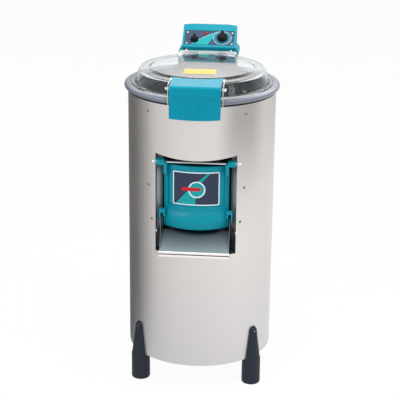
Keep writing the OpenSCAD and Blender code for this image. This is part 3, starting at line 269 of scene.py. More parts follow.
# Abrasive grit on liner and disc: dark, rough and speckled, stone by stone.
grit, tree, shader = new_material("abrasive_grit", Base_Color=colour("#3E444C"), Roughness=0.85,
                                  Specular_IOR_Level=0.1)
stone_place = object_place(tree, (420, 420, 420))
cells = add_node(tree, "ShaderNodeTexVoronoi", Vector=stone_place, Scale=1.0)
stone_tones = two_tones(tree, cells.outputs["Color"], "#0E1014", "#34383F")
tree.links.new(stone_tones, shader.inputs["Base Color"])
bump(tree, shader, cells.outputs["Distance"], 0.9, 0.8 * MM)
print("plastics and grit:", len(bpy.data.materials), "materials so far")

# %% [markdown]
# ## The lid's clear plastic
# The lid is seen twice: as a shiny skin that mirrors the room, and as a window into the drum.
# A glass-like shader does both. Glass also throws a hard black shadow, because a renderer can't
# easily follow light through it. So for shadow and soft light rays alone a plain transparent
# shader takes its place, and daylight falls into the drum.

# %% Clear plastic
# The lid: clear with a faint cool haze and sharp reflections on its flat parts. The index lies
# below that of real plastic (1.49), so the skin mirrors less and the eye gets into the drum.
clear_plastic, tree, shader = new_material("clear_plastic", Base_Color=colour("#F7FAFB"),
                                           Roughness=0.03, IOR=1.30, Transmission_Weight=0.99)
path = add_node(tree, "ShaderNodeLightPath")
soft_light = maths(tree, "ADD", path.outputs["Is Shadow Ray"], path.outputs["Is Diffuse Ray"])
open_air = add_node(tree, "ShaderNodeBsdfTransparent", Color=colour("#F4F7F8"))
mixed_surface(tree, soft_light, shader, open_air)
print("clear plastic mixes", len(tree.nodes), "nodes")

# %% [markdown]
# ## Which part has which material
# Every exact part gets one material. Writing them as a table, sorted by material, shows at a
# glance what is steel and what is plastic, and no part can be forgotten: the last line counts.

# %% Give every CAD part its material
parts_of_material = [
    (shell_steel, "body_shell rear_bridge hinge_leaf latch_bracket"),
    (inner_steel, "drum_floor base_plate motor_plate drain_outlet door_liner disc_cap"),
    (tray_steel, "chute_tray"), (recess_steel, "discharge_surround"),
    (shaded_drum_steel, "drum"), (shaded_collar_steel, "top_collar"),
    (bright_screws, "surround_bolts rod_caps frame_bolts bridge_bolts console_screws panel_screws"
                    " lid_bolts latch_nuts"),
    (dark_screws, "leg_screws body_screws"),
    (turned_steel, "door_rod shaft_bearings hinge_pin latch_rod latch_spring selector_spindle"
                   " timer_spindle drive_shaft motor_shaft"),
    (cast_aluminium, "bearing_housing driven_pulley motor_pulley"), (plated_brass, "water_inlet"),
    (teal_plastic, "console_housing chute_door"), (handle_plastic, "latch_handle"),
    (leg_plastic, "leg_front_left leg_front_right leg_rear_left leg_rear_right console_base"),
    (black_plastic, "cable_gland lid_switch selector_knob timer_knob"),
    (ring_rubber, "rim_ring"), (belt_rubber, "shaft_seal drive_belt"),
    (switch_plastic, "timer_body switch_body"), (panel_paint, "control_panel"),
    (motor_paint, "motor_housing"), (lamp_glass, "indicator_lamp"),
    (grit, "drum_liner peeling_disc"), (clear_plastic, "lid_cover")]
node_material = {name: material for material, names in parts_of_material for name in names.split()}
for name, material in node_material.items():
    nodes[name].data.materials.clear()
    nodes[name].data.materials.append(material)
print("painted", len(node_material), "of", len(nodes), "parts")

# %% [markdown]
# ## Small tools for meshes
# Most pieces below are tubes in one sense or another: a row of points, pulled or turned to the
# next row, with a face between each pair of neighbours. So one function joins two rows, one
# closes a whole tube, and one makes the finished mesh with its normals outward. A finished piece
# then rides on its body, hides the CAD parts it stands for and takes its material.


# %% Helpers for meshes
# points closer than this are one point
same_point = 0.005 * MM


def bridge(bm, one, two):
    for i in range(len(one)):
        n = (i + 1) % len(one)
        bm.faces.new((one[i], one[n], two[n], two[i]))


def tube(bm, rows):
    for one, two in zip(rows, rows[1:]):
        bridge(bm, one, two)
    bm.faces.new(rows[0])
    bm.faces.new(rows[-1])


def closed_mesh(bm, name, crease=None):
    # a crease angle shades the mesh smooth but for edges sharper than that, none leaves it flat
    bmesh.ops.recalc_face_normals(bm, faces=bm.faces)
    mesh = bpy.data.meshes.new(name)
    bm.to_mesh(mesh)
    bm.free()
    if crease is not None:
        for face in mesh.polygons:
            face.use_smooth = True
        mesh.set_sharp_from_angle(angle=math.radians(crease))
    return mesh


def finished(name, mesh, body, material, *stood_for, slot=None):
    made = bpy.data.objects.new(name, mesh)
    scene.collection.objects.link(made)
    mesh.materials.clear()
    mesh.materials.append(material)
    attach(made, body)
    if stood_for:
        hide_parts(*stood_for)
    return made


print("mesh helpers ready")

# %% [markdown]
# ## Softened mouldings
# No moulded or pressed part has knife edges. A copy of the exact part is welded, its flat
# faces are joined up, and a small bevel runs along every sharp edge, so each edge catches a
# thin highlight. The copy then stands for the CAD part and rides on the same body.


# %% Soft edges for moulded and pressed parts
cad_shading = ("custom_normal", "sharp_face", "sharp_edge")
weld, flat = 0.02 * MM, math.radians(0.6)
bevel_from, crease_from = math.radians(32), math.radians(48)


def softened(name, node, width):
    mesh = nodes[node].data.copy()
    for layer in [a.name for a in mesh.attributes if a.name in cad_shading]:
        mesh.attributes.remove(mesh.attributes[layer])
    bm = bmesh.new()
    bm.from_mesh(mesh)
    bmesh.ops.remove_doubles(bm, verts=bm.verts, dist=weld)
    bmesh.ops.dissolve_limit(bm, angle_limit=flat, verts=bm.verts, edges=bm.edges)
    bm.to_mesh(mesh)
    bm.free()
    rough = bpy.data.objects.new(name + "_rough", mesh)
    scene.collection.objects.link(rough)
    edge = rough.modifiers.new("edge", "BEVEL")
    edge.width, edge.segments = width * MM, 2
    edge.limit_method, edge.angle_limit = "ANGLE", bevel_from
    edge.use_clamp_overlap, edge.harden_normals = True, False
    bpy.context.view_layer.update()
    depsgraph = bpy.context.evaluated_depsgraph_get()
    soft = bpy.data.meshes.new_from_object(rough.evaluated_get(depsgraph))
    bpy.data.objects.remove(rough)
    soft.set_sharp_from_angle(angle=crease_from)
    for face in soft.polygons:
        face.use_smooth = True
    made = finished(name, soft, body_of_node[node], node_material[node], node)
    made.modifiers.new("even_shading", "WEIGHTED_NORMAL").keep_sharp = True
    return made


# Each line: the piece, the CAD part it stands for, and the width of its soft edge in mm.
soft_pieces = {}
for name, node, width in [
        ("console_shell", "console_housing", 1.2), ("door_moulding", "chute_door", 0.7),
        ("latch_paddle", "latch_handle", 0.35), ("front_left_foot", "leg_front_left", 1.2),
        ("front_right_foot", "leg_front_right", 1.2), ("rear_left_foot", "leg_rear_left", 1.2),
        ("rear_right_foot", "leg_rear_right", 1.2), ("switch_knob", "selector_knob", 0.7),
        ("timer_dial_knob", "timer_knob", 0.8), ("chute_pan", "chute_tray", 0.35),
        ("rear_bracket", "rear_bridge", 0.5), ("latch_cheeks", "latch_bracket", 0.4),
        ("hinge_plate", "hinge_leaf", 0.4)]:
    soft_pieces[name] = softened(name, node, width)
    print(name, len(soft_pieces[name].data.polygons), "faces")

# %% [markdown]
# ## Painted highlight and shadow on the chute's lip
# The tray ends in a folded lip: a bright band, a dark groove and a bright roll under it. The
# form is in the mesh already, so only its paint changes: the bands take a near-white steel as a
# painted highlight, and the groove takes black as a painted shadow. The mesh is cut at the
# height of the groove's lower edge, and every face in front of the fold then takes the bright
# steel or, in the groove, the black.

# %% Painted highlight on the lip and painted shadow in the groove
chute_pan = soft_pieces["chute_pan"].data
chute_pan.materials.append(lip_highlight_steel)
chute_pan.materials.append(black_plastic)
lip_highlight_index, groove_shadow_index = 1, 2
groove_low, groove_high, fold_y = 408.7, 411.6, -210
bm = bmesh.new()
bm.from_mesh(chute_pan)
everything = bm.verts[:] + bm.edges[:] + bm.faces[:]
bmesh.ops.bisect_plane(bm, geom=everything, plane_co=(0, 0, groove_low * MM), plane_no=(0, 0, 1))
bm.to_mesh(chute_pan)
bm.free()
# faces of the fold get the bright steel as painted highlight, the groove's faces black as painted
# shadow
for face in chute_pan.polygons:
    y, z = face.center.y / MM - AXIS_Y, face.center.z / MM
    if y < fold_y:
        face.material_index = groove_shadow_index if groove_low < z < groove_high else lip_highlight_index
print("lip faces:", sum(face.material_index > 0 for face in chute_pan.polygons))

# %% [markdown]
# ## Dome nuts on the door's rod
# The rod's ends are closed by small dome nuts that lie half sunk in the shell's curve. One
# profile is turned round the rod's axis for each end: a short skirt, a rounded shoulder and a
# nearly spherical top.

# %% Dome nuts
rod_y, rod_z = -163, 651.0
skirt_end, nut_r, nut_turns = 116, 4.8, 32
nut_profile = [(109.5, 4.7), (114, nut_r), (skirt_end, nut_r)]
for a in (math.radians(12 * i) for i in range(1, 8)):
    nut_profile.append((skirt_end + 4.2 * math.sin(a), nut_r * math.cos(a)))
angles = [2 * math.pi * k / nut_turns for k in range(nut_turns)]
bm = bmesh.new()
for side in (-1, 1):
    rows = []
    for x, r in nut_profile:
        rows.append([bm.verts.new(at(side * x, rod_y + r * math.cos(a), rod_z + r * math.sin(a)))
                     for a in angles])
    tube(bm, rows)
rod_nuts = finished("rod_nuts", closed_mesh(bm, "rod_nuts", crease=180), "cabinet",
                    bright_screws, "rod_caps")
print("rod nuts:", len(rod_nuts.data.polygons), "faces")

# %% [markdown]
# ## A painted shadow under the rim ring
# Below the grey ring a thin black band, shaped like a rubber lip, hugs the joint with the shell.
# It is painted shadow: it draws the dark line where the ring overhangs the steel. Its section is
# swept round the drum and left open behind, where the steel bridge of the hinge is bolted on.

# %% Painted shadow band under the ring
ring_shadow_section = [(200.15, 817.2), (203.6, 817.3), (202.9, 814.0), (201.2, 811.6), (200.15, 811.4)]
opening = math.radians(28)
ring_shadow_steps = 180
bm = bmesh.new()
rows = []
for k in range(ring_shadow_steps + 1):
    a = math.pi / 2 + opening + (2 * math.pi - 2 * opening) * k / ring_shadow_steps
    rows.append([bm.verts.new(at(r * math.cos(a), r * math.sin(a), z)) for r, z in ring_shadow_section])
tube(bm, rows)
# the black band is painted shadow under the ring's overhang
ring_shadow_band = finished("ring_shadow_band", closed_mesh(bm, "ring_shadow_band", crease=50), "cabinet",
                    belt_rubber, slot="belt_rubber")
print("seal lip:", len(ring_shadow_band.data.polygons), "faces")

# %% [markdown]
# ## Ribs on the latch paddle
# The paddle's skirt has a step across it and a row of upright ribs, where a hand finds it
# without looking. Each one is a flat dome pulled along the face, so its upper side catches the
# light and its lower side throws a thin shadow.

# %% Ribs on the latch paddle
paddle_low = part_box("latch_handle")[0][2] / MM
face_y, sunk = -230.0, 0.3


def ridge(bm, start, end, half_width, proud, steps=6):
    # a half ellipse across the face, from start to end; its feet lie a little under the surface
    (x0, z0), (x1, z1) = start, end
    along = Vector((x1 - x0, z1 - z0)).normalized()
    across = Vector((-along.y, along.x)) * half_width
    rows = []
    for x, z in (start, end):
        rows.append([])
        for a in (math.pi * i / steps for i in range(steps + 1)):
            aside = across * math.cos(a)
            y = face_y + sunk - (proud + sunk) * math.sin(a)
            rows[-1].append(bm.verts.new(at(x + aside.x, y, z + aside.y)))
    tube(bm, rows)


bm = bmesh.new()
for x in range(-36, 37, 12):
    ridge(bm, (x, paddle_low + 12), (x, paddle_low + 50), half_width=2.0, proud=0.9)
ridge(bm, (-65.2, paddle_low + 60), (65.2, paddle_low + 60), half_width=2.6, proud=1.3)
latch_ribs = finished("latch_ribs", closed_mesh(bm, "latch_ribs", crease=50),
                      body_of_node["latch_handle"], handle_plastic, slot="handle_plastic")
print("latch ribs:", len(latch_ribs.data.polygons), "faces")

# %% [markdown]
# ## The recess's bent cheeks
# The chute's opening has a cheek of satin sheet on each side. It runs straight in behind the
# shell's edge, where the tray's bolts sit on it, and then bends towards the drum, so light from
# the front slides down it and fades into the dark beside the door. Seen from above it is one
# bent line, so that line is drawn once, given its wall and pulled up over the opening's height.


# %% Bent cheeks of the discharge recess
def rounded_line(points, radii, steps):
    line = [Vector(points[0])]
    for before, corner, after, r in zip(points, points[1:], points[2:], radii):
        p, c, n = Vector(before), Vector(corner), Vector(after)
        a, b = (p - c).normalized(), (n - c).normalized()
        half = a.angle(b) / 2
        reach = min(r / math.tan(half), (p - c).length * 0.45, (n - c).length * 0.45)
        start, end = c + a * reach, c + b * reach
        for i in range(steps + 1):
            t = i / steps
            line.append((1 - t) ** 2 * start + 2 * t * (1 - t) * c + t * t * end)
    line.append(Vector(points[-1]))
    return line


def bent_sheet(bm, line, wall, foot, head):
    rows = []
    for i, here in enumerate(line):
        along = (line[min(i + 1, len(line) - 1)] - line[max(i - 1, 0)]).normalized()
        back = here + Vector((along.y, -along.x)) * wall
        rows.append([bm.verts.new(at(p.x, p.y, z))
                     for p, z in ((here, foot), (here, head), (back, head), (back, foot))])
    tube(bm, rows)


cheek = rounded_line([(107.4, -165.6), (107.2, -146.5), (91.5, -134.8)], [5], 10)
mirrored = [Vector((-p.x, p.y)) for p in reversed(cheek)]
bm = bmesh.new()
for line in (cheek, mirrored):
    bent_sheet(bm, line, wall=0.6, foot=404, head=683)
recess_cheeks = finished("recess_cheeks", closed_mesh(bm, "recess_cheeks", crease=40), "cabinet",
                         recess_steel, slot="dark_steel")
print("recess cheeks:", len(recess_cheeks.data.polygons), "faces")

# %% [markdown]
# ## The clear lid
# The lid is one clear moulding: a flange, a steep cone, a shoulder, a flat land and a shallow
# raised crown, with a straight wall at the rear. A line with rounded corners is turned round
# the drum's axis. Where the turned ring would pass the rear wall its points slide forward onto
# the wall's plane, so the wall grows out of the same closed mesh.

# %% The lid's line, outside and inside
lid_low, land_z, plateau_z, lid_t = 829.8, 868.0, 873.0, 3.0
crown_r, crown = 138, 4


def crown_z(q):
    return plateau_z + crown * (1 - q * q)


dome = [(crown_r * q, crown_z(q)) for q in (0.98, 0.8, 0.6, 0.4, 0.2)]
lid_corners = [(190, lid_low), (190, lid_low + 3), (179, lid_low + 3), (171, 865.2),
               (168.2, land_z), (146, land_z), (136.5, plateau_z)]
corner_radii = [1.2, 3, 6, 4, 7, 7, 40]
outside = rounded_line(lid_corners + dome[:2], corner_radii, 6)[:-1] + [Vector(p) for p in dome[1:]]


def wall_at(z):
    # the steep cone stands thicker than the flat top, measured sideways
    return 2.6 if z < 866 else 1.6 if z < 870 else 0.6


inner_foot = [Vector((176.2, lid_low)), Vector((176.0, lid_low + 1.5))]
inside = [Vector((r - wall_at(z), z - lid_t)) for r, z in outside if r < 179.5 and z > lid_low + 4]
inside = inner_foot + [p for p in inside if p.y > lid_low + 0.5]
print("lid line:", len(outside), "points outside,", len(inside), "inside")

# %% Turn the lid
lid_turns = 288
rear_wall_out, rear_wall_in = 158.0, 155.0


def lid_ring(bm, r, z, wall):
    made = []
    for k in range(lid_turns):
        a = 2 * math.pi * k / lid_turns
        x, y = r * math.cos(a), r * math.sin(a)
        if y > wall:
            x, y = x * wall / y, wall
        made.append(bm.verts.new(at(x, y, z)))
    return made


def lid_top(bm, row, z):
    top = bm.verts.new(at(0, 0, z))
    for k in range(lid_turns):
        bm.faces.new((row[k], row[(k + 1) % lid_turns], top))


bm = bmesh.new()
rows_out = [lid_ring(bm, r, z, rear_wall_out) for r, z in outside]
rows_in = [lid_ring(bm, r, z, rear_wall_in) for r, z in inside]
for rows in (rows_out, rows_in, [rows_in[0], rows_out[0]]):
    for one, two in zip(rows, rows[1:]):
        bridge(bm, one, two)
lid_top(bm, rows_out[-1], plateau_z + crown)
lid_top(bm, rows_in[-1], plateau_z + crown - lid_t)
bmesh.ops.remove_doubles(bm, verts=bm.verts, dist=same_point)
clear_lid = finished("clear_lid", closed_mesh(bm, "clear_lid", crease=40), "lid",
                     clear_plastic, "lid_cover")
print("clear lid:", len(clear_lid.data.polygons), "faces")

# %% [markdown]
# ## Printed films
# The door's plate, the strip on the lid and the console's print are thin films. Each one is
# drawn as columns across its width, with a lowest and a highest point per column, and a small
# function lays those flat points on the real surface, curved or tilted.


# %% A film laid on a surface
def film(name, columns, place, thick, body, material, rows=6):
    bm = bmesh.new()
    under, over = [[[bm.verts.new(place(x, low + (high - low) * j / rows, lift))
                     for j in range(rows + 1)]
                    for x, low, high in columns] for lift in (0.0, thick)]
    last = len(columns) - 1
    for i in range(last):
        for j in range(rows):
            bm.faces.new((over[i][j], over[i + 1][j], over[i + 1][j + 1], over[i][j + 1]))
            bm.faces.new((under[i][j], under[i][j + 1], under[i + 1][j + 1], under[i + 1][j]))
    rim = ([(i, 0) for i in range(last)] + [(last, j) for j in range(rows)]
           + [(i, rows) for i in range(last, 0, -1)] + [(0, j) for j in range(rows, 0, -1)])
    for (i, j), (k, m) in zip(rim, rim[1:] + rim[:1]):
        bm.faces.new((under[i][j], under[k][m], over[k][m], over[i][j]))
    bmesh.ops.remove_doubles(bm, verts=bm.verts, dist=same_point)
    return finished(name, closed_mesh(bm, name), body, material, slot="teal_plastic")


def plate_columns(x_low, x_high, low, high, r, n=40):
    # a rectangle with rounded corners, its columns closer together at both ends
    columns = []
    for i in range(n + 1):
        x = x_low + (x_high - x_low) * (1 - math.cos(math.pi * i / n)) / 2
        d = max(0.0, r - min(x - x_low, x_high - x))
        cut = r - math.sqrt(max(0.0, r * r - d * d))
        columns.append((x, low + cut, high - cut))
    return columns


def round_columns(inner, outer, n):
    # a ring: the columns are angles, and low and high are radii
    return [(2 * math.pi * i / n, inner, outer) for i in range(n + 1)]


# Print: crisp flat colours with a soft gloss, all from the moulded recipe with hardly any grain.
# White for frames and scales, the lines that catch the eye first.
white_print = moulded("white_print", "#DCF0F8", 0.35, depth=0.05)
# Navy for the door plate's field, so the white frame stands out.
navy_print = moulded("navy_print", "#343C52", 0.3, depth=0.05)
# Light teal for the plain figures, fresher than the mouldings round them.
teal_print = moulded("teal_print", "#14A0A4", 0.3, depth=0.05)
# Deep teal under the timer's ticks, dark enough to read them.
dial_print = moulded("dial_print", "#1C7385", 0.3, depth=0.05)
# Red for the one bar on the door.
red_print = moulded("red_print", "#C8202E", 0.3, depth=0.05)
# Amber for the strip on the lid, the only warm colour on top.
amber_print = moulded("amber_print", "#F6B85A", 0.4, depth=0.05)
print("print colours ready")

# %% Films on the door and the lid
door_r, door_mid = 168.0, 579.5
ring_x, ring_z = 2, door_mid - 2


def on_door(x, z, lift):
    r, a = door_r + 0.05 + lift, x / door_r
    return at(r * math.sin(a), -r * math.cos(a), z)


def on_door_ring(a, r, lift):
    return on_door(ring_x + r * math.sin(a), ring_z + r * math.cos(a), lift)


def on_crown(x, y, lift):
    return at(x, y, crown_z(math.hypot(x, y) / crown_r) + 0.05 + lift)


def door_plate(half_x, half_z, corner):
    return plate_columns(-half_x, half_x, door_mid - half_z, door_mid + half_z, corner)


wedge_foot = door_mid - 43
wedge = [(-57 + 56 * t, wedge_foot, wedge_foot + 46 * math.sin(math.pi * t / 2) ** 1.3)
         for t in (i / 24 for i in range(25))]
beam = [(2 + 36 * t, door_mid + 10 + 33 * t ** 1.2, door_mid + 18 + 25 * min(1, t * 1.25))
        for t in (i / 20 for i in range(20))]
red_bar = plate_columns(-38, 12, door_mid - 6, door_mid + 4, 2)
# Each line: the film, its columns, the surface it lies on, how far it stands off that in mm, its
# print and its rows.
door_films = [
    ("border", door_plate(63.5, 46.5, 4), on_door, 0.35, white_print, 6),
    ("field", door_plate(60.3, 43.3, 2), on_door, 0.5, navy_print, 6),
    ("wedge", wedge, on_door, 0.6, teal_print, 6),
    ("beam", beam, on_door, 0.6, teal_print, 6),
    ("ring", round_columns(19.5, 23.0, 72), on_door_ring, 0.7, white_print, 1),
    ("core", round_columns(2.0, 19.0, 72), on_door_ring, 0.65, teal_print, 2),
    ("bar", red_bar, on_door, 0.8, red_print, 6)]
for name, columns, place, thick, material, rows in door_films:
    film("door_plate_" + name, columns, place, thick, "door", material, rows)
film("lid_strip", plate_columns(-42, 42, -100, -53, 2), on_crown, 0.3, "lid", amber_print)
print("films so far:", len(door_films) + 1)

# %% Films on the console
tilt = math.radians(37)
face_foot_y, face_foot_z, panel_sink = 207, 878, 0.38
timer_x, timer_s, timer_ring_in, timer_ring_out = 36.7, 34, 23.9, 24.6
band_left, band_length, band_low, band_rise = -51, 76, 8.2, 50.6


def on_panel(x, s, lift):
    # s runs up the tilted face of the console, lift stands square to it
    up = lift - panel_sink
    return at(x, face_foot_y + s * math.cos(tilt) - up * math.sin(tilt),
              face_foot_z + s * math.sin(tilt) + up * math.cos(tilt))


def around_timer(a, r, lift):
    return on_panel(timer_x + 1.07 * r * math.sin(a), timer_s + r * math.cos(a), lift)


def band_x(t):
    return band_left + band_length * t


def band_top(t):
    return band_low + band_rise * (1.35 * t - 0.38 * t * t)


def band_foot(t):
    # level at first, then up past the panel's corner and flatter under the timer's disc
    return band_low + 184 * max(0, min(t, 0.737) - 0.632) + 60 * max(0, t - 0.737)


shares = [i / 24 for i in range(25)]
band_columns = [(band_x(t), band_foot(t), band_top(t)) for t in shares]
line_columns = [(band_x(t), band_top(t) - 0.4, band_top(t) + 0.4) for t in shares]
film("panel_band", band_columns, on_panel, 0.15, "cabinet", teal_print)
film("panel_line", line_columns, on_panel, 0.2, "cabinet", white_print, rows=1)
film("timer_scale_disc", round_columns(8.0, timer_ring_in, 96), around_timer, 0.25,
     "cabinet", dial_print, rows=2)
film("timer_scale_ring", round_columns(timer_ring_in, timer_ring_out, 96), around_timer, 0.3,
     "cabinet", white_print, rows=1)
print("console print laid at", round(math.degrees(tilt)), "degrees")

# %% [markdown]
# ## Pieces that repeat, with Geometry Nodes
# The liner and the disc carry hundreds of abrasive stones, and the timer's scale has its ring
# of ticks. Copying them by hand would take as many commands as there are stones, so a node
# tree does it: it finds the points, puts one small shape on each and turns and scales it. Named
# inputs keep the sizes open. The tree's result is then made real, because a picture and an
# export both need a plain mesh.


# %% A small kit for node trees
def new_tree(name, **inputs):
    tree = bpy.data.node_groups.new(name, "GeometryNodeTree")
    tree.interface.new_socket("Geometry", in_out="INPUT", socket_type="NodeSocketGeometry")
    tree.interface.new_socket("Geometry", in_out="OUTPUT", socket_type="NodeSocketGeometry")
    for key, value in inputs.items():
        kind = "NodeSocketInt" if isinstance(value, int) else "NodeSocketFloat"
        tree.interface.new_socket(key, in_out="INPUT", socket_type=kind).default_value = value
    return tree, tree.nodes.new("NodeGroupInput").outputs, tree.nodes.new("NodeGroupOutput").inputs


def end_tree(tree, copies, material, result):
    real = add_node(tree, "GeometryNodeRealizeInstances", Geometry=copies.outputs[0])
    paint = add_node(tree, "GeometryNodeSetMaterial", Geometry=real.outputs[0], Material=material)
    tree.links.new(paint.outputs[0], result["Geometry"])


def grown(name, tree, base, body, material, slot, **sizes):
    holder = bpy.data.objects.new(name + "_base", base)
    scene.collection.objects.link(holder)
    grow = holder.modifiers.new("grow", "NODES")
    grow.node_group = tree
    for item in tree.interface.items_tree:
        if item.in_out == "INPUT" and item.name in sizes:
            grow[item.identifier] = sizes[item.name]
    bpy.context.view_layer.update()
    depsgraph = bpy.context.evaluated_depsgraph_get()
    mesh = bpy.data.meshes.new_from_object(holder.evaluated_get(depsgraph))
    holder.modifiers.remove(grow)
    bpy.data.objects.remove(holder)
    return finished(name, mesh, body, material, slot=slot)


print("node kit ready")

# %% [markdown]
# ### Abrasive stones
# Real grit is glued on: stones of about two millimetres, close together, each turned its own
# way. The tree scatters points over a surface, sets a small coarse ball on each and gives it a
# random turn and size. Only the liner's inward faces and the disc's top are handed to it, and
# stones too near an edge are taken away again, so none hangs in the air or in a neighbour.

# %% Abrasive stones on the liner and the disc
stone_size, liner_density, disc_density = 0.0022, 9000.0, 16000.0
stones_tree, given, result = new_tree("scatter_stones", per_square_metre=liner_density,
                                      stone=stone_size, seed=7)
spots = add_node(stones_tree, "GeometryNodeDistributePointsOnFaces", Mesh=given["Geometry"],
                 Density=given["per_square_metre"], Seed=given["seed"])
size = add_node(stones_tree, "FunctionNodeRandomValue", i2=0.55, i3=1.0, Seed=given["seed"])
turn = add_node(stones_tree, "FunctionNodeRandomValue", i0=(0.0, 0.0, 0.0), i1=(6.28, 6.28, 6.28),
                Seed=given["seed"])
turn.data_type = "FLOAT_VECTOR"
pebble = add_node(stones_tree, "GeometryNodeMeshIcoSphere", Radius=given["stone"], Subdivisions=1)
copies = add_node(stones_tree, "GeometryNodeInstanceOnPoints", Points=spots.outputs["Points"],
                  Instance=pebble.outputs[0], Rotation=turn.outputs[0], Scale=size.outputs[1])
end_tree(stones_tree, copies, grit, result)


def grit_base(node, keep):
    bm = bmesh.new()
    bm.from_mesh(nodes[node].data)
    bmesh.ops.delete(bm, geom=[f for f in bm.faces if not keep(f)], context="FACES")
    mesh = bpy.data.meshes.new(node + "_grit_base")
    bm.to_mesh(mesh)
    bm.free()
    return mesh


def inward(face):
    centre = face.calc_center_median()
    outward = Vector((centre.x, centre.y - AXIS_Y * MM, 0)).normalized()
    return outward.dot(face.normal) < -0.7 and abs(face.normal.z) < 0.3


def upward(face):
    return face.normal.z > 0.3


def keep_stones(piece, wanted):
    bm = bmesh.new()
    bm.from_mesh(piece.data)
    loose = set(bm.verts)
    while loose:
        stone, edge = set(), [loose.pop()]
        while edge:
            vert = edge.pop()
            stone.add(vert)
            near = [e.other_vert(vert) for e in vert.link_edges if e.other_vert(vert) in loose]
            loose.difference_update(near)
            edge += near
        middle = sum((v.co for v in stone), Vector()) / len(stone)
        if not wanted(math.hypot(middle.x, middle.y - AXIS_Y * MM) / MM, middle.z / MM):
            bmesh.ops.delete(bm, geom=list(stone), context="VERTS")
    bm.to_mesh(piece.data)
    bm.free()


liner_stones = grown("liner_stones", stones_tree, grit_base("drum_liner", inward), "cabinet",
                     grit, "abrasive", per_square_metre=liner_density, stone=stone_size)
disc_stones = grown("disc_stones", stones_tree, grit_base("peeling_disc", upward), "disc",
                    grit, "disc_grit", per_square_metre=disc_density, stone=stone_size)
liner_low, disc_edge = 482, 147
keep_stones(liner_stones, lambda r, z: z > liner_low)
keep_stones(disc_stones, lambda r, z: r < disc_edge)
faces_per_stone = 20
print("stones:", len(liner_stones.data.polygons) // faces_per_stone, "on the liner,",
      len(disc_stones.data.polygons) // faces_per_stone, "on the disc")

# %% [markdown]
# ### Ticks of the timer's scale
# The scale has a tick every few minutes, and every fifth one is longer and wider. The tree puts
# a small bar on each point of a circle and turns it by its own number, so it points outward.
# The remainder of that number by five picks the long ones. At the end the flat ring of bars is
# laid on the console's tilted panel.

# %% Ticks of the timer's scale
tick_count, bar_width, bar_height = 25, 0.0004, 0.00015
ticks_tree, given, result = new_tree("scale_ticks", count=tick_count, ring=0.0206, tick=0.0024)
ring = add_node(ticks_tree, "GeometryNodeMeshCircle", Vertices=given["count"], Radius=given["ring"])
bar_size = add_node(ticks_tree, "ShaderNodeCombineXYZ", X=bar_width, Y=given["tick"], Z=bar_height)
bar = add_node(ticks_tree, "GeometryNodeMeshCube", Size=bar_size.outputs[0])
step = add_node(ticks_tree, "GeometryNodeInputIndex").outputs[0]
angle = maths(ticks_tree, "MULTIPLY", step, 2 * math.pi / tick_count)
spin = add_node(ticks_tree, "ShaderNodeCombineXYZ", Z=maths(ticks_tree, "ADD", angle, math.pi / 2))
remainder = maths(ticks_tree, "MODULO", step, 5.0)
fifth = add_node(ticks_tree, "FunctionNodeCompare", i0=remainder, i1=0.5)
fifth.operation = "LESS_THAN"
stretch = add_node(ticks_tree, "GeometryNodeSwitch")
stretch.input_type = "VECTOR"
ticks_tree.links.new(fifth.outputs[0], stretch.inputs["Switch"])
stretch.inputs["False"].default_value = (1, 0.6, 1)
stretch.inputs["True"].default_value = (1.4, 1, 1)
copies = add_node(ticks_tree, "GeometryNodeInstanceOnPoints", Points=ring.outputs[0],
                  Instance=bar.outputs["Mesh"], Rotation=spin.outputs[0], Scale=stretch.outputs[0])
end_tree(ticks_tree, copies, white_print, result)
timer_ticks = grown("timer_ticks", ticks_tree, bpy.data.meshes.new("tick_seed"), "cabinet",
                    white_print, "panel_navy", count=tick_count)
for vertex in timer_ticks.data.vertices:
    x, y, z = vertex.co / MM
    vertex.co = on_panel(timer_x + x, timer_s + y, 0.3 + z)
print("ticks:", len(timer_ticks.data.polygons) // 6)

# %% [markdown]
# ## Floor and backdrop
# The machine stands on a pale sweep. Camera rays, mirror rays and rays through the clear lid
# see the same white behind it, while ordinary light gets a calmer sky, so pale parts don't
# burn out. The floor mixes a little glow with its paint: enough to stay white, not enough to
# drown the soft shadow under the legs.


# %% Floor and sky
def staged(name, mesh, material):
    made = bpy.data.objects.new(name, mesh)
    scene.collection.objects.link(made)
    mesh.materials.append(material)
    return made


def seen_directly(tree):
    path = add_node(tree, "ShaderNodeLightPath")
    straight = maths(tree, "ADD", path.outputs["Is Camera Ray"], path.outputs["Is Glossy Ray"])
    both = add_node(tree, "ShaderNodeMath", i0=straight, i1=path.outputs["Is Transmission Ray"])
    both.use_clamp = True
    return both.outputs[0]


# The floor: matt white that glows a little for the camera, so it joins the white sky.
floor_paint, tree, shader = new_material("floor_paint", Base_Color=colour("#FFFFFF"), Roughness=0.9,
                                         Specular_IOR_Level=0.1)
glow = add_node(tree, "ShaderNodeEmission", Color=colour("#FFFFFF"), Strength=1.0)
share = add_node(tree, "ShaderNodeMapRange", Value=seen_directly(tree), To_Min=0.25, To_Max=0.95)
mixed_surface(tree, share.outputs[0], shader, glow)
half = 14
mesh = bpy.data.meshes.new("studio_floor")
floor_corners = [(-half, -half, 0), (half, -half, 0), (half, half, 0), (-half, half, 0)]
mesh.from_pydata(floor_corners, [], [(0, 1, 2, 3)])
staged("studio_floor", mesh, floor_paint)

scene.world = bpy.data.worlds.new("studio_sky")
scene.world.use_nodes = True
tree = scene.world.node_tree
tree.nodes.clear()
calm = add_node(tree, "ShaderNodeBackground", Color=colour("#E8E9EC"), Strength=0.55)
white = add_node(tree, "ShaderNodeBackground", Color=colour("#FFFFFF"), Strength=1.0)
direct = seen_directly(tree)
mix = add_node(tree, "ShaderNodeMixShader", Fac=direct, i1=calm.outputs[0], i2=white.outputs[0])
add_node(tree, "ShaderNodeOutputWorld", Surface=mix.outputs[0])
print("floor and sky ready")

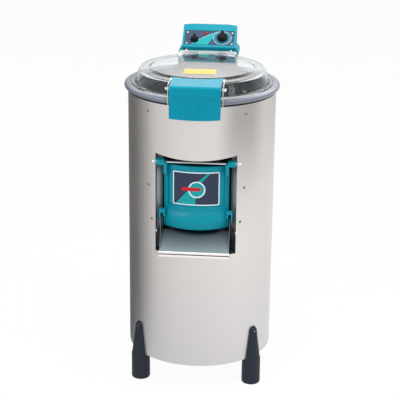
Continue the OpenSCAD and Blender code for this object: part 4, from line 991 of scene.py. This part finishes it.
# %% [markdown]
# ## A light tent for the steel
# Steel has no look of its own: it shows the room. Photographers put a round tent of cloth
# about such a machine, bright where they want a sheen and dark where they want an edge. Here
# the tent is a turned wall that only mirror rays can see. Its tone runs round the machine, so
# the left side of the shell falls into a dark band and comes up again at the very edge. A
# second ramp runs up the tent: a bright band overhead is what the flat lid mirrors.


# %% The tent's cloth
def tone_ramp(tree, fac, stops):
    # stops are (angle in degrees round the machine, tone); 0 is straight in front
    ramp = add_node(tree, "ShaderNodeValToRGB", Fac=fac)
    points = ramp.color_ramp.elements
    points[0].position, points[1].position = 0.5 + stops[0][0] / 360, 0.5 + stops[-1][0] / 360
    for angle, tone in stops[1:-1]:
        points.new(0.5 + angle / 360)
    for point, (angle, tone) in zip(points, stops):
        point.color = (tone, tone, tone, 1)
    return ramp.outputs[0]


tent_tones = [(-180, 0.9), (-165, 0.83), (-150, 0.38), (-130, 0.18), (-110, 0.15), (-89, 0.27),
              (-58, 0.84), (-30, 0.99), (0, 1.06), (30, 1.12), (60, 1.16), (90, 1.13), (180, 0.9)]
# Up high on the right a darker band: these numbers say how much of the tone it takes away.
tent_band = [(22, 0.0), (46, 1.0), (76, 1.0), (98, 0.3), (150, 0.5), (180, 0.0)]
# How strongly the cloth glows at each share of the tent's height.
tent_top = 2.4
lift_levels = [(0.0, 1), (0.42, 1), (0.5, 4.2), (0.68, 0.6), (1.0, 0.2)]

# The tent's cloth: unseen itself, it paints every soft light and dark band on the steel.
tent_cloth, tree, shader = new_material("tent_cloth")
tree.nodes.remove(shader)
where = add_node(tree, "ShaderNodeTexCoord").outputs["Object"]
turned_place = add_node(tree, "ShaderNodeMapping", Vector=where, Rotation=(0, 0, math.pi / 2))
round_it = add_node(tree, "ShaderNodeTexGradient", Vector=turned_place.outputs[0])
round_it.gradient_type = "RADIAL"
fac = round_it.outputs["Fac"]
height = add_node(tree, "ShaderNodeSeparateXYZ", Vector=where).outputs[2]
high = add_node(tree, "ShaderNodeMapRange", Value=height, From_Min=0.36, From_Max=0.62, To_Max=0.55)
band = maths(tree, "MULTIPLY", tone_ramp(tree, fac, tent_band), high.outputs[0])
tone = maths(tree, "MULTIPLY", tone_ramp(tree, fac, tent_tones), maths(tree, "SUBTRACT", 1.0, band))
rise = add_node(tree, "ShaderNodeMapRange", Value=height, From_Max=tent_top)
lift = add_node(tree, "ShaderNodeValToRGB", Fac=rise.outputs[0])
for share, level in lift_levels[1:-1]:
    lift.color_ramp.elements.new(share)
for point, (share, level) in zip(lift.color_ramp.elements, lift_levels):
    point.color = (level, level, level, 1)
final = maths(tree, "MULTIPLY", tone, lift.outputs[0])
glow = add_node(tree, "ShaderNodeEmission", Color=colour("#FFFFFF"), Strength=final)
tree.links.new(glow.outputs[0], tree.nodes["Material Output"].inputs["Surface"])
print("tent cloth:", len(tree.nodes), "nodes")

# %% The tent's wall
tent_line = [(0.27, 0.004), (0.52, 0.006), (0.62, 0.04), (0.66, 0.14), (0.68, 2.2), (0.5, 2.38),
             (0.01, tent_top)]
tent_turns = 96
bm = bmesh.new()
rows = [[bm.verts.new((r * math.cos(a), r * math.sin(a), z))
         for a in (2 * math.pi * k / tent_turns for k in range(tent_turns))] for r, z in tent_line]
for one, two in zip(rows, rows[1:]):
    bridge(bm, one, two)
mesh = bpy.data.meshes.new("light_tent")
bm.to_mesh(mesh)
bm.free()
tent = staged("light_tent", mesh, tent_cloth)
tent.visible_camera = tent.visible_diffuse = tent.visible_transmission = tent.visible_shadow = False
print("tent:", len(tent.data.polygons), "faces")

# %% [markdown]
# ## Lamps
# The tent only serves mirrors, so plastics need lamps of their own. A broad box overhead gives
# the tops their light, a large one at the front left and a smaller one at the right shape the
# teal mouldings. Broad boxes, because their shadows have soft edges.


# %% Lamps
def soft_box(name, spot, target, size, watts):
    data = bpy.data.lights.new(name, "AREA")
    data.shape = "RECTANGLE"
    data.size, data.size_y = size
    data.energy = watts
    made = bpy.data.objects.new(name, data)
    scene.collection.objects.link(made)
    made.location = spot
    made.rotation_euler = (Vector(target) - Vector(spot)).to_track_quat("-Z", "Y").to_euler()


soft_box("key_box", (-1.6, -2.4, 2.7), (0, 0, 0.6), (1.0, 1.0), 36)
soft_box("right_box", (2.4, -1.6, 1.7), (0, 0, 0.5), (0.6, 1.6), 16)
soft_box("top_box", (0.3, -0.3, 2.9), (0, 0, 0.8), (1.4, 1.4), 46)
print("lamps:", [light.name for light in bpy.data.lights])

# %% [markdown]
# ## Camera
# The camera stands a little to the right of the middle, above the lid, and looks down by about
# twenty degrees. A long lens from over three metres keeps the drum's sides nearly parallel, as
# product pictures do. Its place and its two directions are written out, so nothing is left to
# an aim that could drift.

# %% Camera
camera_data = bpy.data.cameras.new("camera")
camera_data.lens = 116.77
camera_data.sensor_width = 36
camera_data.clip_start, camera_data.clip_end = 0.05, 60
camera = bpy.data.objects.new("camera", camera_data)
scene.collection.objects.link(camera)
stand = Vector((0.279756, -3.420017, 1.699842))
right, up = Vector((0.996205, 0.086473, 0.009992)), Vector((-0.038324, 0.332631, 0.942278))
axes = Matrix((right, up, right.cross(up).normalized())).transposed()
camera.matrix_world = Matrix.Translation(stand) @ axes.to_4x4()
scene.camera = camera
scene.view_settings.view_transform = "Standard"
print("camera at", tuple(round(v, 3) for v in camera.location))
